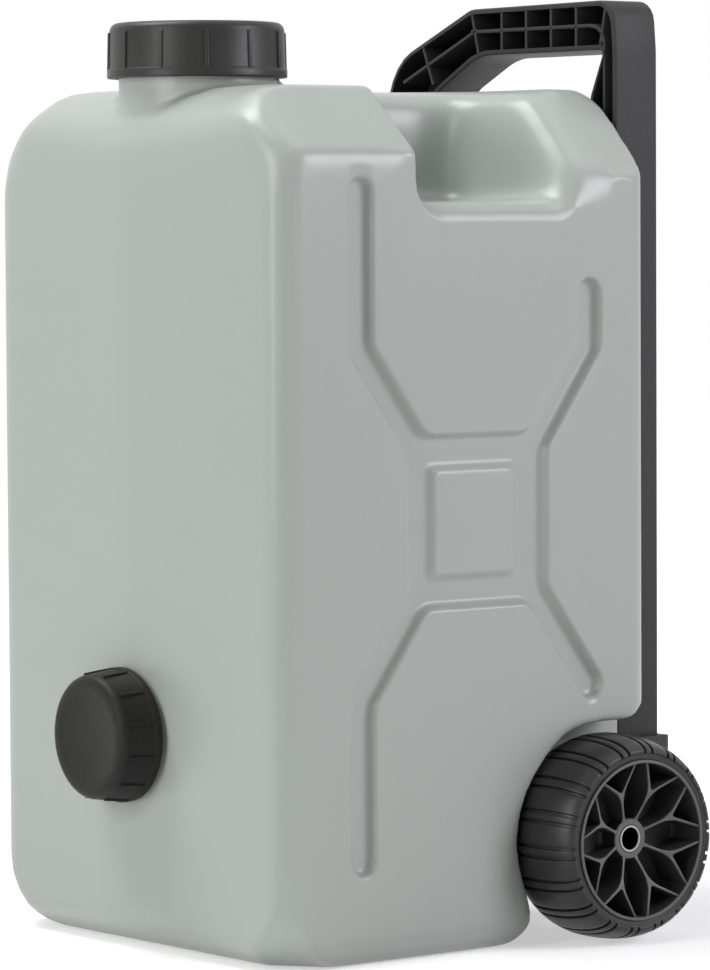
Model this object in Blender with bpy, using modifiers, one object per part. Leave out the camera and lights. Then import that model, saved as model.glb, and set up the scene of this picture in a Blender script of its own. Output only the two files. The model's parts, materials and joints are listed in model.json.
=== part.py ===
"""Wheeled water tank: a blow-moulded tank with two screw caps on a wheeled pull-along trolley frame.

Frame: metres, +Z up, +X to the tank's right, -Y to the front, where the drain cap is. The origin lies
on the ground under the middle of the whole object.
"""

import math

import bmesh
import bpy
from mathutils import Matrix, Vector

MM = 0.001
SEAT_GAP = 0.3 * MM

# Tank shell
TANK_WIDTH = 298 * MM
TANK_DEPTH = 285 * MM
TANK_HEIGHT = 524 * MM
WALL = 3 * MM
PROW = 8 * MM
CREASE_RADIUS = 120 * MM
FRONT_CORNER_RADIUS = 17 * MM
REAR_CORNER_RADIUS = 13 * MM
FRONT_ROLL_RADIUS = 45 * MM
FRONT_FOOT_RADIUS = 36 * MM
REAR_TOP_RADIUS = 12 * MM
REAR_FOOT_RADIUS = 10 * MM
SIDE_FOOT_RADIUS = 18 * MM
CORNER_FOOT_RADIUS = 45 * MM
CORNER_TOP_RADIUS = 59 * MM
CORNER_BEARING = math.radians(52)
SHOULDER_RADIUS = 10 * MM
SHOULDER_RUN = 46 * MM
SHOULDER_RISE = 41 * MM
REAR_SHOULDER_RISE = 56 * MM

# Grip recess in each side of the top
GRIP_FRONT = 102 * MM
GRIP_REAR = 219 * MM
GRIP_FLOOR = TANK_HEIGHT - 70 * MM
RIDGE_HALF_WIDTH = 46 * MM
GRIP_FLOOR_RADIUS = 26 * MM
GRIP_END_RADIUS = 11 * MM

# Stiffening channel pressed into each side
CHANNEL_DEPTH = 4 * MM
CHANNEL_DRAFT = 2.6 * MM
CHANNEL_WIDTH = 19 * MM
CHANNEL_MIDDLE_Y = 148 * MM
CHANNEL_MIDDLE_Z = 263 * MM
CHANNEL_SPAN = 196 * MM
CHANNEL_WAIST = 109 * MM
CHANNEL_WAIST_RISE = 41 * MM
CHANNEL_BEND_RISE = 101 * MM
FRONT_ARM_TOP = TANK_HEIGHT - 54 * MM
FRONT_ARM_FOOT = 54 * MM
REAR_ARM_TOP = 408 * MM
REAR_ARM_FOOT = 148.5 * MM
PAD_DEPTH = 1.5 * MM
PAD_WIDTH = 60 * MM
PAD_HEIGHT = 61 * MM
PAD_DRAFT = 5 * MM

# Fill neck and cap
NECK_RADIUS = 48 * MM
NECK_FROM_FRONT = 49.5 * MM
NECK_BORE_RADIUS = 43 * MM
NECK_TOP = TANK_HEIGHT + 33 * MM
FILL_CAP_RADIUS = 55 * MM
FILL_CAP_FOOT = TANK_HEIGHT + 6 * MM
FILL_CAP_TOP = TANK_HEIGHT + 39.6 * MM
FILL_CAP_TAPER = 0.6 * MM
FILL_CAP_RIBS = 10
FILL_TRAVEL = 36 * MM

# Drain neck and cap
DRAIN_HEIGHT = 132.5 * MM
DRAIN_NECK_RADIUS = 35 * MM
DRAIN_BORE_RADIUS = 30.5 * MM
DRAIN_NECK_LENGTH = 22 * MM
DRAIN_CAP_RADIUS = 41 * MM
DRAIN_CAP_TAPER = 2 * MM
DRAIN_CAP_LENGTH = 27.5 * MM
DRAIN_CAP_RIBS = 12
DRAIN_TRAVEL = 30 * MM

# Both caps
CAP_WALL = 3 * MM
CAP_CROWN_RADIUS = 4.5 * MM
CAP_RING = 5.6 * MM
CAP_RIB_WIDTH = 3 * MM
CAP_RIB_RISE = 1 * MM
CAP_RUNNING_GAP = 1.2 * MM
SEAL_THICKNESS = 2.5 * MM
CAP_FOOT_GAP = 1.2 * MM

# Wheels and axle
AXLE_FROM_FRONT = 243.5 * MM
AXLE_HEIGHT = 65 * MM
AXLE_RADIUS = 7.6 * MM
AXLE_WALL = 1.1 * MM
AXLE_FLARE = 0.5 * MM
TYRE_RADIUS = 63.6 * MM
TYRE_EDGE_RADIUS = 52 * MM
TYRE_WIDTH = 54 * MM
TYRE_CROWN = 8 * MM
RIM_RADIUS = 49.2 * MM
RIM_WALL = 3.2 * MM
WHEEL_OUTER_FACE = TANK_WIDTH / 2 + 39.5 * MM
HUB_RADIUS = 12.3 * MM
HUB_INSET = 11.7 * MM
HUB_LENGTH = 32 * MM
WEB_INSET = 25 * MM
WEB_THICKNESS = 3 * MM
SPOKES = 8
SPOKE_WIDTH = 3.2 * MM
SPOKE_FORK_RADIUS = 30 * MM
SPOKE_FORK_ANGLE = math.radians(17.2)
RUNNING_GAP = 0.3 * MM
WHEEL_WELL_RADIUS = 69.5 * MM
WHEEL_WELL_DEPTH = 30.5 * MM
WHEEL_WELL_LEAN = math.radians(20)
WHEEL_WELL_CORNER = 18 * MM
WHEEL_WELL_FOOT = 14 * MM
FOOT_STEP = 46 * MM

# Trolley frame behind the tank
FRAME_TOP = TANK_HEIGHT + 55.5 * MM
FRAME_DEPTH = 34 * MM
FRAME_HALF_WIDTH = TANK_WIDTH / 2 - 35 * MM
FRAME_FRONT_GAP = 3.5 * MM
RAIL_WIDTH = 25 * MM
RAIL_TOP_WIDTH = 12 * MM
RAIL_TAPER = 29 * MM
RAIL_FOOT = 34 * MM
CROSSBAR_HEIGHT = 29 * MM
SHOULDER_START = 28 * MM
SHOULDER_DROP = 47 * MM
FRAME_CORNER_RADIUS = 14 * MM
FRAME_WALL = 3.2 * MM
FRAME_RIB = 2.4 * MM
FRAME_BACK = 4 * MM
CROSSBAR_CELL = 24.3 * MM
CROSSBAR_RIB_START = 2.5 * MM
SHOULDER_RIB = 55 * MM
RAIL_CELL = 34 * MM
LOWER_BAR_TOP = 150 * MM
LOWER_BAR_HEIGHT = 26 * MM

# Axle brackets at the foot of the rails
BRACKET_WALL = 3 * MM
BRACKET_TOP = 118 * MM
BRACKET_BACK = 5.5 * MM
BRACKET_FOOT = 27 * MM
BRACKET_FLOOR = 6 * MM
AXLE_BOSS_RADIUS = 15 * MM
SPACER_RADIUS = 11 * MM
WASHER_RADIUS = 12 * MM
WASHER_THICKNESS = 1.5 * MM

# Screws
SCREW_RADIUS = 2.4 * MM
SCREW_HEAD_RADIUS = 4.8 * MM
SCREW_HEAD = 3 * MM
SCREW_BITE = 12 * MM
SCREW_SEAT = 5 * MM
SCREW_BOSS_RADIUS = 8.5 * MM
SCREW_HEIGHTS = (215 * MM, 430 * MM)

# Places worked out from the sizes above
HALF_WIDTH = TANK_WIDTH / 2
DRAIN_REACH = PROW + CAP_FOOT_GAP + DRAIN_CAP_LENGTH
FRAME_REACH = TANK_DEPTH + FRAME_FRONT_GAP + FRAME_DEPTH + BRACKET_BACK
FRONT = (DRAIN_REACH - FRAME_REACH) / 2
REAR = FRONT + TANK_DEPTH
FRAME_FRONT = REAR + FRAME_FRONT_GAP
FRAME_REAR = FRAME_FRONT + FRAME_DEPTH
RAIL_MIDDLE = FRAME_HALF_WIDTH - RAIL_WIDTH / 2
NECK_Y = FRONT + NECK_FROM_FRONT
AXLE_Y = FRONT + AXLE_FROM_FRONT
WHEEL_MIDDLE = WHEEL_OUTER_FACE - TYRE_WIDTH / 2
HUB_FACE = WHEEL_OUTER_FACE - HUB_INSET
HUB_BACK = HUB_FACE - HUB_LENGTH
WELL_WALL = HALF_WIDTH - WHEEL_WELL_DEPTH
BRACKET_OUTER = FRAME_HALF_WIDTH + SEAT_GAP + BRACKET_WALL
BRACKET_INNER = FRAME_HALF_WIDTH - RAIL_WIDTH - SEAT_GAP - BRACKET_WALL
PROW_Y = FRONT - PROW

PARTS = None
CUTTERS = None


def start_scene():
    """Clears the scene and makes one collection for the parts and one for the cutters."""
    global PARTS, CUTTERS
    for obj in list(bpy.data.objects):
        bpy.data.objects.remove(obj, do_unlink=True)
    PARTS = bpy.data.collections.new("wheeled_water_tank")
    CUTTERS = bpy.data.collections.new("cutters")
    for collection in (PARTS, CUTTERS):
        bpy.context.scene.collection.children.link(collection)
    CUTTERS.hide_render = True


def material(name, colour, roughness, metallic=0.0):
    made = bpy.data.materials.new(name)
    made.use_nodes = True
    shader = made.node_tree.nodes["Principled BSDF"]
    shader.inputs["Base Color"].default_value = (*colour, 1.0)
    shader.inputs["Roughness"].default_value = roughness
    shader.inputs["Metallic"].default_value = metallic
    made.diffuse_color = (*colour, 1.0)
    return made


def add_object(name, mesh, helper=False):
    obj = bpy.data.objects.new(name, mesh)
    (CUTTERS if helper else PARTS).objects.link(obj)
    if helper:
        obj.hide_render = True
        obj.display_type = "WIRE"
    return obj


def boolean(target, other, operation):
    modifier = target.modifiers.new(f"{operation.lower()} {other.name}", "BOOLEAN")
    modifier.operation = operation
    modifier.object = other
    modifier.solver = "EXACT"
    return modifier


def cut(target, *others):
    for other in others:
        boolean(target, other, "DIFFERENCE")


def join(target, *others):
    for other in others:
        boolean(target, other, "UNION")


def common(target, *others):
    for other in others:
        boolean(target, other, "INTERSECT")


def soften(obj, width, segments=1, angle=math.radians(30)):
    modifier = obj.modifiers.new("soft edges", "BEVEL")
    modifier.width = width
    modifier.segments = segments
    modifier.limit_method = "ANGLE"
    modifier.angle_limit = angle
    return modifier


def rounded(corners, radii, steps=4):
    """The closed outline through these corners, each replaced by an arc of its radius."""
    points = []
    count = len(corners)
    for index, corner in enumerate(corners):
        radius = radii[index] if isinstance(radii, (list, tuple)) else radii
        here = Vector(corner)
        to_last = (Vector(corners[index - 1]) - here).normalized()
        to_next = (Vector(corners[(index + 1) % count]) - here).normalized()
        half_turn = to_last.angle(to_next) / 2
        if radius <= 0 or half_turn > math.radians(89.5):
            points.append(tuple(here))
            continue
        middle = here + (to_last + to_next).normalized() * (radius / math.sin(half_turn))
        start = here + to_last * (radius / math.tan(half_turn)) - middle
        end = here + to_next * (radius / math.tan(half_turn)) - middle
        sweep = start.angle_signed(end)
        for step in range(steps + 1):
            spoke = start.copy()
            spoke.rotate(Matrix.Rotation(-sweep * step / steps, 2))
            points.append(tuple(middle + spoke))
    return points


def grown(corners, radii, amount, steps=4):
    """The rounded outline with every side moved outwards by this amount, or inwards if negative."""
    points = [Vector(corner) for corner in corners]
    area = sum(p.cross(q) for p, q in zip(points, points[1:] + points[:1]))
    turn = math.copysign(1, area)
    moved, bends = [], []
    for index, here in enumerate(points):
        into = (here - points[index - 1]).normalized()
        out = (points[(index + 1) % len(points)] - here).normalized()
        normals = [Vector((d.y, -d.x)) * turn for d in (into, out)]
        mitre = (normals[0] + normals[1]) / (1 + normals[0].dot(normals[1]))
        moved.append(tuple(here + mitre * amount))
        bend = math.copysign(amount, amount * turn * into.cross(out))
        bends.append(max(radii[index] + bend, 0.5 * MM) if radii[index] else 0)
    return rounded(moved, bends, steps)


AXES = {
    "X": Matrix(((0, 0, 1), (1, 0, 0), (0, 1, 0))).to_4x4(),
    "Y": Matrix(((1, 0, 0), (0, 0, -1), (0, 1, 0))).to_4x4(),
    "Z": Matrix.Identity(4),
}


def prism(name, outline, low, high, axis="Z", helper=True, holes=()):
    """A flat outline extruded from low to high along the axis. It is drawn in YZ, XZ or XY."""
    curve = bpy.data.curves.new(name, "CURVE")
    curve.dimensions = "2D"
    curve.fill_mode = "BOTH"
    curve.extrude = (high - low) / 2
    for ring in (outline, *holes):
        spline = curve.splines.new("POLY")
        spline.points.add(len(ring) - 1)
        for point, (across, up) in zip(spline.points, ring):
            point.co = (across, up, 0, 1)
        spline.use_cyclic_u = True
    drawn = bpy.data.objects.new(name, curve)
    CUTTERS.objects.link(drawn)
    middle = (low + high) / 2 * (-1 if axis == "Y" else 1)
    drawn.matrix_world = AXES[axis] @ Matrix.Translation((0, 0, middle))
    bpy.context.view_layer.update()
    graph = bpy.context.evaluated_depsgraph_get()
    mesh = bpy.data.meshes.new_from_object(drawn.evaluated_get(graph))
    mesh.transform(drawn.matrix_world)
    bpy.data.objects.remove(drawn, do_unlink=True)
    form = bmesh.new()
    form.from_mesh(mesh)
    bmesh.ops.remove_doubles(form, verts=form.verts, dist=0.01 * MM)
    bmesh.ops.recalc_face_normals(form, faces=form.faces)
    form.to_mesh(mesh)
    form.free()
    return add_object(name, mesh, helper)


def box(name, low, high, helper=True):
    mesh = bpy.data.meshes.new(name)
    form = bmesh.new()
    bmesh.ops.create_cube(form, size=1)
    size = Vector(high) - Vector(low)
    middle = (Vector(high) + Vector(low)) / 2
    bmesh.ops.scale(form, vec=size, verts=form.verts)
    bmesh.ops.translate(form, vec=middle, verts=form.verts)
    form.to_mesh(mesh)
    form.free()
    return add_object(name, mesh, helper)


def drum(name, radius, low, high, centre, axis="Z", helper=True, sides=32, end_radius=None):
    """A cylinder, or a cone where end_radius differs, from low to high along the axis."""
    mesh = bpy.data.meshes.new(name)
    form = bmesh.new()
    far_radius = radius if end_radius is None else end_radius
    bmesh.ops.create_cone(
        form, cap_ends=True, segments=sides, radius1=radius, radius2=far_radius, depth=high - low
    )
    bmesh.ops.translate(form, vec=(0, 0, (low + high) / 2), verts=form.verts)
    turn = {"X": Matrix.Rotation(math.radians(90), 4, "Y"), "Z": Matrix.Identity(4)}
    turn["Y"] = Matrix.Rotation(math.radians(-90), 4, "X")
    bmesh.ops.transform(form, matrix=turn[axis], verts=form.verts)
    bmesh.ops.translate(form, vec=centre, verts=form.verts)
    form.to_mesh(mesh)
    form.free()
    return add_object(name, mesh, helper)


def turned(name, profile, steps=40, helper=False):
    """A profile of (radius, height) points, from the top down its outer side, turned about Z."""
    mesh = bpy.data.meshes.new(name)
    form = bmesh.new()
    points = [form.verts.new((radius, 0, height)) for radius, height in profile]
    closed = profile[0][0] > 0
    for first, second in zip(points, points[1:]):
        form.edges.new((first, second))
    if closed:
        form.edges.new((points[-1], points[0]))
    form.to_mesh(mesh)
    form.free()
    obj = add_object(name, mesh, helper)
    screw = obj.modifiers.new("turn", "SCREW")
    screw.steps = steps
    screw.render_steps = steps
    screw.use_merge_vertices = True
    screw.merge_threshold = 0.00001
    return obj


def finish(obj, made, smooth_angle=30):
    obj.data.materials.clear()
    obj.data.materials.append(made)
    obj.data.shade_smooth()
    obj.data.set_sharp_from_angle(angle=math.radians(smooth_angle))
    weighted = obj.modifiers.new("even shading", "WEIGHTED_NORMAL")
    weighted.keep_sharp = True
    return obj


def plan_outline(inset):
    """The tank from above: a shallow prow in front and rounded upright edges."""
    side = HALF_WIDTH
    corners = [(0, PROW_Y), (side, FRONT), (side, REAR), (-side, REAR), (-side, FRONT)]
    front, rear = FRONT_CORNER_RADIUS, REAR_CORNER_RADIUS
    return grown(corners, [CREASE_RADIUS, front, rear, rear, front], -inset)


def side_outline(inset):
    """The tank from its side, drawn in YZ: a rolled front top and a rounded front foot."""
    corners = [(PROW_Y, 0), (REAR, 0), (REAR, TANK_HEIGHT), (PROW_Y, TANK_HEIGHT)]
    radii = [FRONT_FOOT_RADIUS, REAR_FOOT_RADIUS, REAR_TOP_RADIUS, FRONT_ROLL_RADIUS]
    return grown(corners, radii, -inset, 6)


def front_outline(inset, rise):
    """The tank from the front, drawn in XZ: sloping shoulders and rounded feet."""
    side = HALF_WIDTH
    run = SHOULDER_RUN * rise / SHOULDER_RISE
    half = [(side, 0), (side, TANK_HEIGHT - rise), (side - run, TANK_HEIGHT)]
    corners = half + [(-across, up) for across, up in reversed(half)]
    foot, shoulder = SIDE_FOOT_RADIUS, SHOULDER_RADIUS
    return grown(corners, [foot, MM, shoulder, shoulder, MM, foot], -inset, 3)


def corner_outline(inset):
    """The tank as seen along the diagonal, where the front corners roll over more than the faces."""
    side, front = math.cos(CORNER_BEARING), math.sin(CORNER_BEARING)
    radius = FRONT_CORNER_RADIUS
    reach = (HALF_WIDTH - radius) * side - (FRONT + radius) * front + radius + 0.1 * MM
    far = -TANK_HEIGHT
    corners = [(far, 0), (reach, 0), (reach, TANK_HEIGHT), (far, TANK_HEIGHT)]
    return grown(corners, [0, CORNER_FOOT_RADIUS, CORNER_TOP_RADIUS, 0], -inset, 6)


def corner_prisms(name, inset):
    def make(label, side):
        prism_along = prism(label, corner_outline(inset), -TANK_HEIGHT, TANK_HEIGHT, "Y")
        bearing = -CORNER_BEARING if side > 0 else CORNER_BEARING - math.pi
        prism_along.data.transform(Matrix.Rotation(bearing, 4, "Z"))
        return prism_along

    return mirrored_pair(f"{name}_corner", make)


def tank_block(name, inset, helper=True):
    """The body that the outlines share, as much smaller all round as inset."""
    over = 20 * MM
    reach = HALF_WIDTH + over
    step = FRONT + GRIP_REAR - 20 * MM
    block = prism(name, plan_outline(inset), inset, TANK_HEIGHT - inset, "Z", helper)
    side = prism(f"{name}_side", side_outline(inset), -reach, reach, "X")
    front_shape = front_outline(inset, SHOULDER_RISE)
    rear_shape = front_outline(inset, REAR_SHOULDER_RISE)
    face = prism(f"{name}_face", front_shape, FRONT - over, REAR + over, "Y")
    rear_cut = prism(f"{name}_rear", rear_shape, step - over, REAR + 2 * over, "Y")
    rear_corner = box(f"{name}_rear_corner", (-reach, step, -over), (reach, REAR + over, TANK_HEIGHT + over))
    cut(rear_corner, rear_cut)
    common(block, side, face, *corner_prisms(name, inset))
    cut(block, rear_corner)
    return block


def mirrored_pair(name, make):
    """make(side) for the right side, 1, and for the left side, -1."""
    return [make(f"{name}_{word}", side) for word, side in (("right", 1), ("left", -1))]


def grip_cutter(growth):
    """One grip recess, open to the top and to the side, with a scooped inner foot."""

    def make(name, side):
        inner = RIDGE_HALF_WIDTH - growth
        outer = HALF_WIDTH + 20 * MM
        floor = GRIP_FLOOR - growth
        top = TANK_HEIGHT + 20 * MM
        corners = [(inner, floor), (outer, floor), (outer, top), (inner, top)]
        outline = rounded([(side * across, up) for across, up in corners], [GRIP_FLOOR_RADIUS, 0, 0, 0], 5)
        start, end = FRONT + GRIP_FRONT - growth, FRONT + GRIP_REAR + growth
        scoop = prism(name, outline, start, end, "Y")
        ends = rounded([(start, floor), (end, floor), (end, top), (start, top)], [GRIP_END_RADIUS] * 2 + [0, 0], 3)
        low, high = sorted((side * (inner - MM), side * (outer + MM)))
        common(scoop, prism(f"{name}_ends", ends, low, high, "X"))
        return scoop

    return mirrored_pair(f"grip_{round(growth / MM)}", make)


def channel_outline(growth):
    """The stiffening channel in YZ: four bent arms from a waist round the middle pad."""
    middle_y, middle_z = FRONT + CHANNEL_MIDDLE_Y, CHANNEL_MIDDLE_Z
    outer, waist = CHANNEL_SPAN / 2, CHANNEL_WAIST / 2
    lean = math.atan2(outer - waist, CHANNEL_BEND_RISE - CHANNEL_WAIST_RISE)
    inner = outer - CHANNEL_WIDTH
    inner_bend = CHANNEL_BEND_RISE + CHANNEL_WIDTH * math.tan(lean / 2)
    panel_rise = PAD_HEIGHT / 2 + PAD_DRAFT + CHANNEL_WIDTH - CHANNEL_DEPTH / 2
    panel_half = inner - (inner_bend - panel_rise) * math.tan(lean)
    arms = {(-1, 1): FRONT_ARM_TOP, (1, 1): REAR_ARM_TOP, (1, -1): REAR_ARM_FOOT, (-1, -1): FRONT_ARM_FOOT}
    corners, radii = [], []
    for (across, up), end in arms.items():
        reach = abs(end - middle_z)
        arm = [
            (waist, CHANNEL_WAIST_RISE),
            (outer, CHANNEL_BEND_RISE),
            (outer, reach),
            (inner, reach),
            (inner, inner_bend),
            (panel_half, panel_rise),
        ]
        round_end = CHANNEL_WIDTH / 2 - 0.1 * MM
        bend = min(12 * MM, reach - CHANNEL_BEND_RISE - round_end)
        bends = [12 * MM, bend, round_end, round_end, 8 * MM, 12 * MM]
        if across * up > 0:
            arm.reverse()
            bends.reverse()
        corners += [(middle_y + across * y, middle_z + up * z) for y, z in arm]
        radii += bends
    return grown(corners, radii, growth, 3)


def channel_cutters(growth):
    """The channel cutter for each side, wider at the tank's surface than at the channel's floor."""
    floor = HALF_WIDTH - CHANNEL_DEPTH - growth
    over = MM
    at_floor = channel_outline(growth - CHANNEL_DRAFT)
    at_mouth = channel_outline(growth + CHANNEL_DRAFT * over / CHANNEL_DEPTH)

    def make(name, side):
        low, high = sorted((side * floor, side * (floor + CHANNEL_DEPTH + over)))
        channel = prism(name, at_floor, low, high, "X")
        places = {(round(y / MM, 2), round(z / MM, 2)): n for n, (y, z) in enumerate(at_floor)}
        for vertex in channel.data.vertices:
            if abs(vertex.co.x) > floor + MM:
                number = places[round(vertex.co.y / MM, 2), round(vertex.co.z / MM, 2)]
                vertex.co.y, vertex.co.z = at_mouth[number]
        return channel

    return mirrored_pair(f"channel_{round(growth / MM)}", make)


def pad_blocks():
    """The pad that stays in the middle of each side's channel."""

    def make_pad(name, side):
        root = HALF_WIDTH - CHANNEL_DEPTH - MM
        face = HALF_WIDTH - PAD_DEPTH
        middle = Vector((0, FRONT + CHANNEL_MIDDLE_Y - 1.5 * MM, CHANNEL_MIDDLE_Z - MM))
        half = Vector((0, PAD_WIDTH / 2, PAD_HEIGHT / 2))
        low, high = sorted((side * root, side * face))
        pad = box(name, middle - half + Vector((low, 0, 0)), middle + half + Vector((high, 0, 0)))
        spread = PAD_DRAFT * (face - root) / (CHANNEL_DEPTH - PAD_DEPTH)
        for vertex in pad.data.vertices:
            if abs(abs(vertex.co.x) - root) < 0.1 * MM:
                vertex.co.y += math.copysign(spread, vertex.co.y - middle.y)
                vertex.co.z += math.copysign(spread, vertex.co.z - middle.z)
        soften(pad, 2 * MM)
        return pad

    return mirrored_pair("channel_pad", make_pad)


def well_outline(growth):
    """The wheel well in YZ: round the wheel in front, straight behind it and leaning below it."""
    radius = WHEEL_WELL_RADIUS + growth
    over = 30 * MM
    round_y = REAR - WHEEL_WELL_CORNER
    round_z = AXLE_HEIGHT + WHEEL_WELL_RADIUS + WHEEL_WELL_CORNER
    corner = WHEEL_WELL_CORNER - growth
    points = [(REAR + over, round_z)]
    for step in range(5):
        angle = math.radians(-90 * step / 4)
        points.append((round_y + corner * math.cos(angle), round_z + corner * math.sin(angle)))
    steps = 14
    sweep = math.radians(90) + WHEEL_WELL_LEAN
    for step in range(steps + 1):
        angle = math.radians(90) + sweep * step / steps
        points.append((AXLE_Y + radius * math.cos(angle), AXLE_HEIGHT + radius * math.sin(angle)))
    last_y, last_z = points[-1]
    foot = WHEEL_WELL_FOOT
    foot_y = last_y + (last_z - foot - growth) * math.tan(WHEEL_WELL_LEAN)
    for step in range(5):
        angle = math.radians(-90 * step / 4)
        height = foot * (1 + math.sin(angle)) + growth - 0.4 * MM
        points.append((foot_y - foot * (1 - math.cos(angle)), height))
    points.append((points[-1][0], -over))
    points.append((REAR + over, -over))
    return points


def well_cutters(growth):
    outline = well_outline(growth)

    def make(name, side):
        low, high = sorted((side * (WELL_WALL - growth), side * (HALF_WIDTH + 20 * MM)))
        return prism(name, outline, low, high, "X")

    return mirrored_pair(f"well_{round(growth / MM)}", make)


def foot_cutter(growth):
    """The step across the tank's lower rear edge, where the axle and its brackets pass."""
    top = BRACKET_TOP - 11 * MM + growth
    start = AXLE_Y - FOOT_STEP - growth
    over = 30 * MM
    corners = [(start, -over), (REAR + over, -over), (REAR + over, top), (start, top)]
    outline = rounded(corners, [0, 0, 0, 24 * MM + growth], 6)
    reach = HALF_WIDTH + over
    return prism(f"foot_{round(growth / MM)}", outline, -reach, reach, "X")


def screw_places():
    return [(side * RAIL_MIDDLE, height) for height in SCREW_HEIGHTS for side in (1, -1)]


def make_tank(plastic):
    tank = tank_block("tank", 0, helper=False)
    cavity = tank_block("cavity", WALL)
    cut(cavity, *channel_cutters(WALL), *grip_cutter(WALL), *well_cutters(WALL), foot_cutter(WALL))
    cut(tank, *channel_cutters(0))
    join(tank, *pad_blocks())
    cut(tank, *grip_cutter(0), *well_cutters(0), foot_cutter(0))

    neck_root = TANK_HEIGHT - FRONT_ROLL_RADIUS - 10 * MM
    neck_seat = (0, NECK_Y, 0)
    join(tank, drum("neck", NECK_RADIUS, neck_root, NECK_TOP, neck_seat, sides=48))
    drain_root = FRONT + 10 * MM
    drain_mouth = PROW_Y - DRAIN_NECK_LENGTH
    drain_seat = (0, 0, DRAIN_HEIGHT)
    join(tank, drum("drain_neck", DRAIN_NECK_RADIUS, drain_mouth, drain_root, drain_seat, "Y", sides=40))
    land = SCREW_BOSS_RADIUS + 3 * MM
    for side in (1, -1):
        inner, outer = sorted((side * (RAIL_MIDDLE - land), side * (RAIL_MIDDLE + land)))
        low = min(SCREW_HEIGHTS) - 2 * land
        high = max(SCREW_HEIGHTS) + 1.6 * land
        join(tank, box(f"land_{side}", (inner, REAR - MM, low), (outer, FRAME_FRONT - SEAT_GAP, high)))
    cut(tank, cavity)
    neck_bore_foot = neck_root - 20 * MM
    cut(tank, drum("neck_bore", NECK_BORE_RADIUS, neck_bore_foot, NECK_TOP + 10 * MM, neck_seat, sides=48))
    drain_bore_end = FRONT + 25 * MM
    cut(tank, drum("drain_bore", DRAIN_BORE_RADIUS, drain_mouth - 10 * MM, drain_bore_end, drain_seat, "Y", sides=40))
    for number, (across, height) in enumerate(screw_places()):
        seat = (across, 0, height)
        inner_end = REAR - SCREW_BITE - WALL
        join(tank, drum(f"boss_{number}", SCREW_BOSS_RADIUS, inner_end, REAR - MM, seat, "Y", sides=16))
        cut(tank, drum(f"pilot_{number}", SCREW_RADIUS + SEAT_GAP, REAR - SCREW_BITE, FRAME_FRONT + 5 * MM, seat, "Y", sides=12))
    return finish(tank, plastic)


def cap_profile(radius, length, bore, taper):
    """A cap's profile from its crown down: rounded edge, skirt and a slightly wider foot ring."""
    skirt = radius - CAP_RIB_RISE
    crown = skirt - taper - CAP_CROWN_RADIUS
    points = [(0, length)]
    for step in range(5):
        angle = math.radians(90 * (1 - step / 4))
        points.append((crown + CAP_CROWN_RADIUS * math.cos(angle), length - CAP_CROWN_RADIUS * (1 - math.sin(angle))))
    points += [(skirt, CAP_RING), (radius, CAP_RING), (radius, 0), (bore, 0), (bore, length - CAP_WALL)]
    points.append((0, length - CAP_WALL))
    return points


def make_cap(name, radius, length, bore, taper, ribs, plastic):
    """A screw cap about Z with its foot at height 0 and narrow grip ribs round its skirt."""
    cap = turned(name, cap_profile(radius, length, bore, taper), 48)
    high = length - CAP_CROWN_RADIUS - MM
    skirt = radius - CAP_RIB_RISE
    for number in range(ribs):
        half = CAP_RIB_WIDTH / 2
        reach = radius - 0.2 * MM
        rib = box(f"{name}_rib_{number}", (skirt - MM, -half, CAP_RING - MM), (reach, half, high))
        for vertex in rib.data.vertices:
            if vertex.co.z > CAP_RING:
                vertex.co.x -= taper
        rib.data.transform(Matrix.Rotation(math.tau * (number + 0.5) / ribs, 4, "Z"))
        rib.parent = cap
        join(cap, rib)
    return finish(cap, plastic)


def make_fill_cap(plastic, rubber):
    length = FILL_CAP_TOP - FILL_CAP_FOOT
    bore = NECK_RADIUS + CAP_RUNNING_GAP
    cap = make_cap("fill_cap", FILL_CAP_RADIUS, length, bore, FILL_CAP_TAPER, FILL_CAP_RIBS, plastic)
    cap.location = (0, NECK_Y, FILL_CAP_FOOT)
    low = NECK_TOP + SEAT_GAP
    high = FILL_CAP_TOP - CAP_WALL - SEAT_GAP
    seal = turned("fill_cap_seal", ring_profile(NECK_BORE_RADIUS - 2 * MM, NECK_RADIUS, 0, high - low), 40)
    seal.location = (0, NECK_Y, low)
    finish(seal, rubber)


def make_drain_cap(plastic, rubber):
    foot = PROW_Y - CAP_FOOT_GAP
    bore = DRAIN_NECK_RADIUS + CAP_RUNNING_GAP
    length = DRAIN_CAP_LENGTH
    cap = make_cap("drain_cap", DRAIN_CAP_RADIUS, length, bore, DRAIN_CAP_TAPER, DRAIN_CAP_RIBS, plastic)
    cap.rotation_euler = (math.radians(90), 0, 0)
    cap.location = (0, foot, DRAIN_HEIGHT)
    near = PROW_Y - DRAIN_NECK_LENGTH - SEAT_GAP
    far = foot - DRAIN_CAP_LENGTH + CAP_WALL + SEAT_GAP
    profile = ring_profile(DRAIN_BORE_RADIUS - 2 * MM, DRAIN_NECK_RADIUS, 0, near - far)
    seal = turned("drain_cap_seal", profile, 40)
    seal.rotation_euler = (math.radians(90), 0, 0)
    seal.location = (0, near, DRAIN_HEIGHT)
    finish(seal, rubber)


def ring_profile(inner, outer, low, high):
    return [(outer, high), (outer, low), (inner, low), (inner, high)]


def lay_along_x(obj, place, side=1):
    """Turns a shape made about Z so that its axis runs along X, outwards on the given side."""
    obj.rotation_euler = (0, math.radians(90 * side), 0)
    obj.location = place


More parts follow.
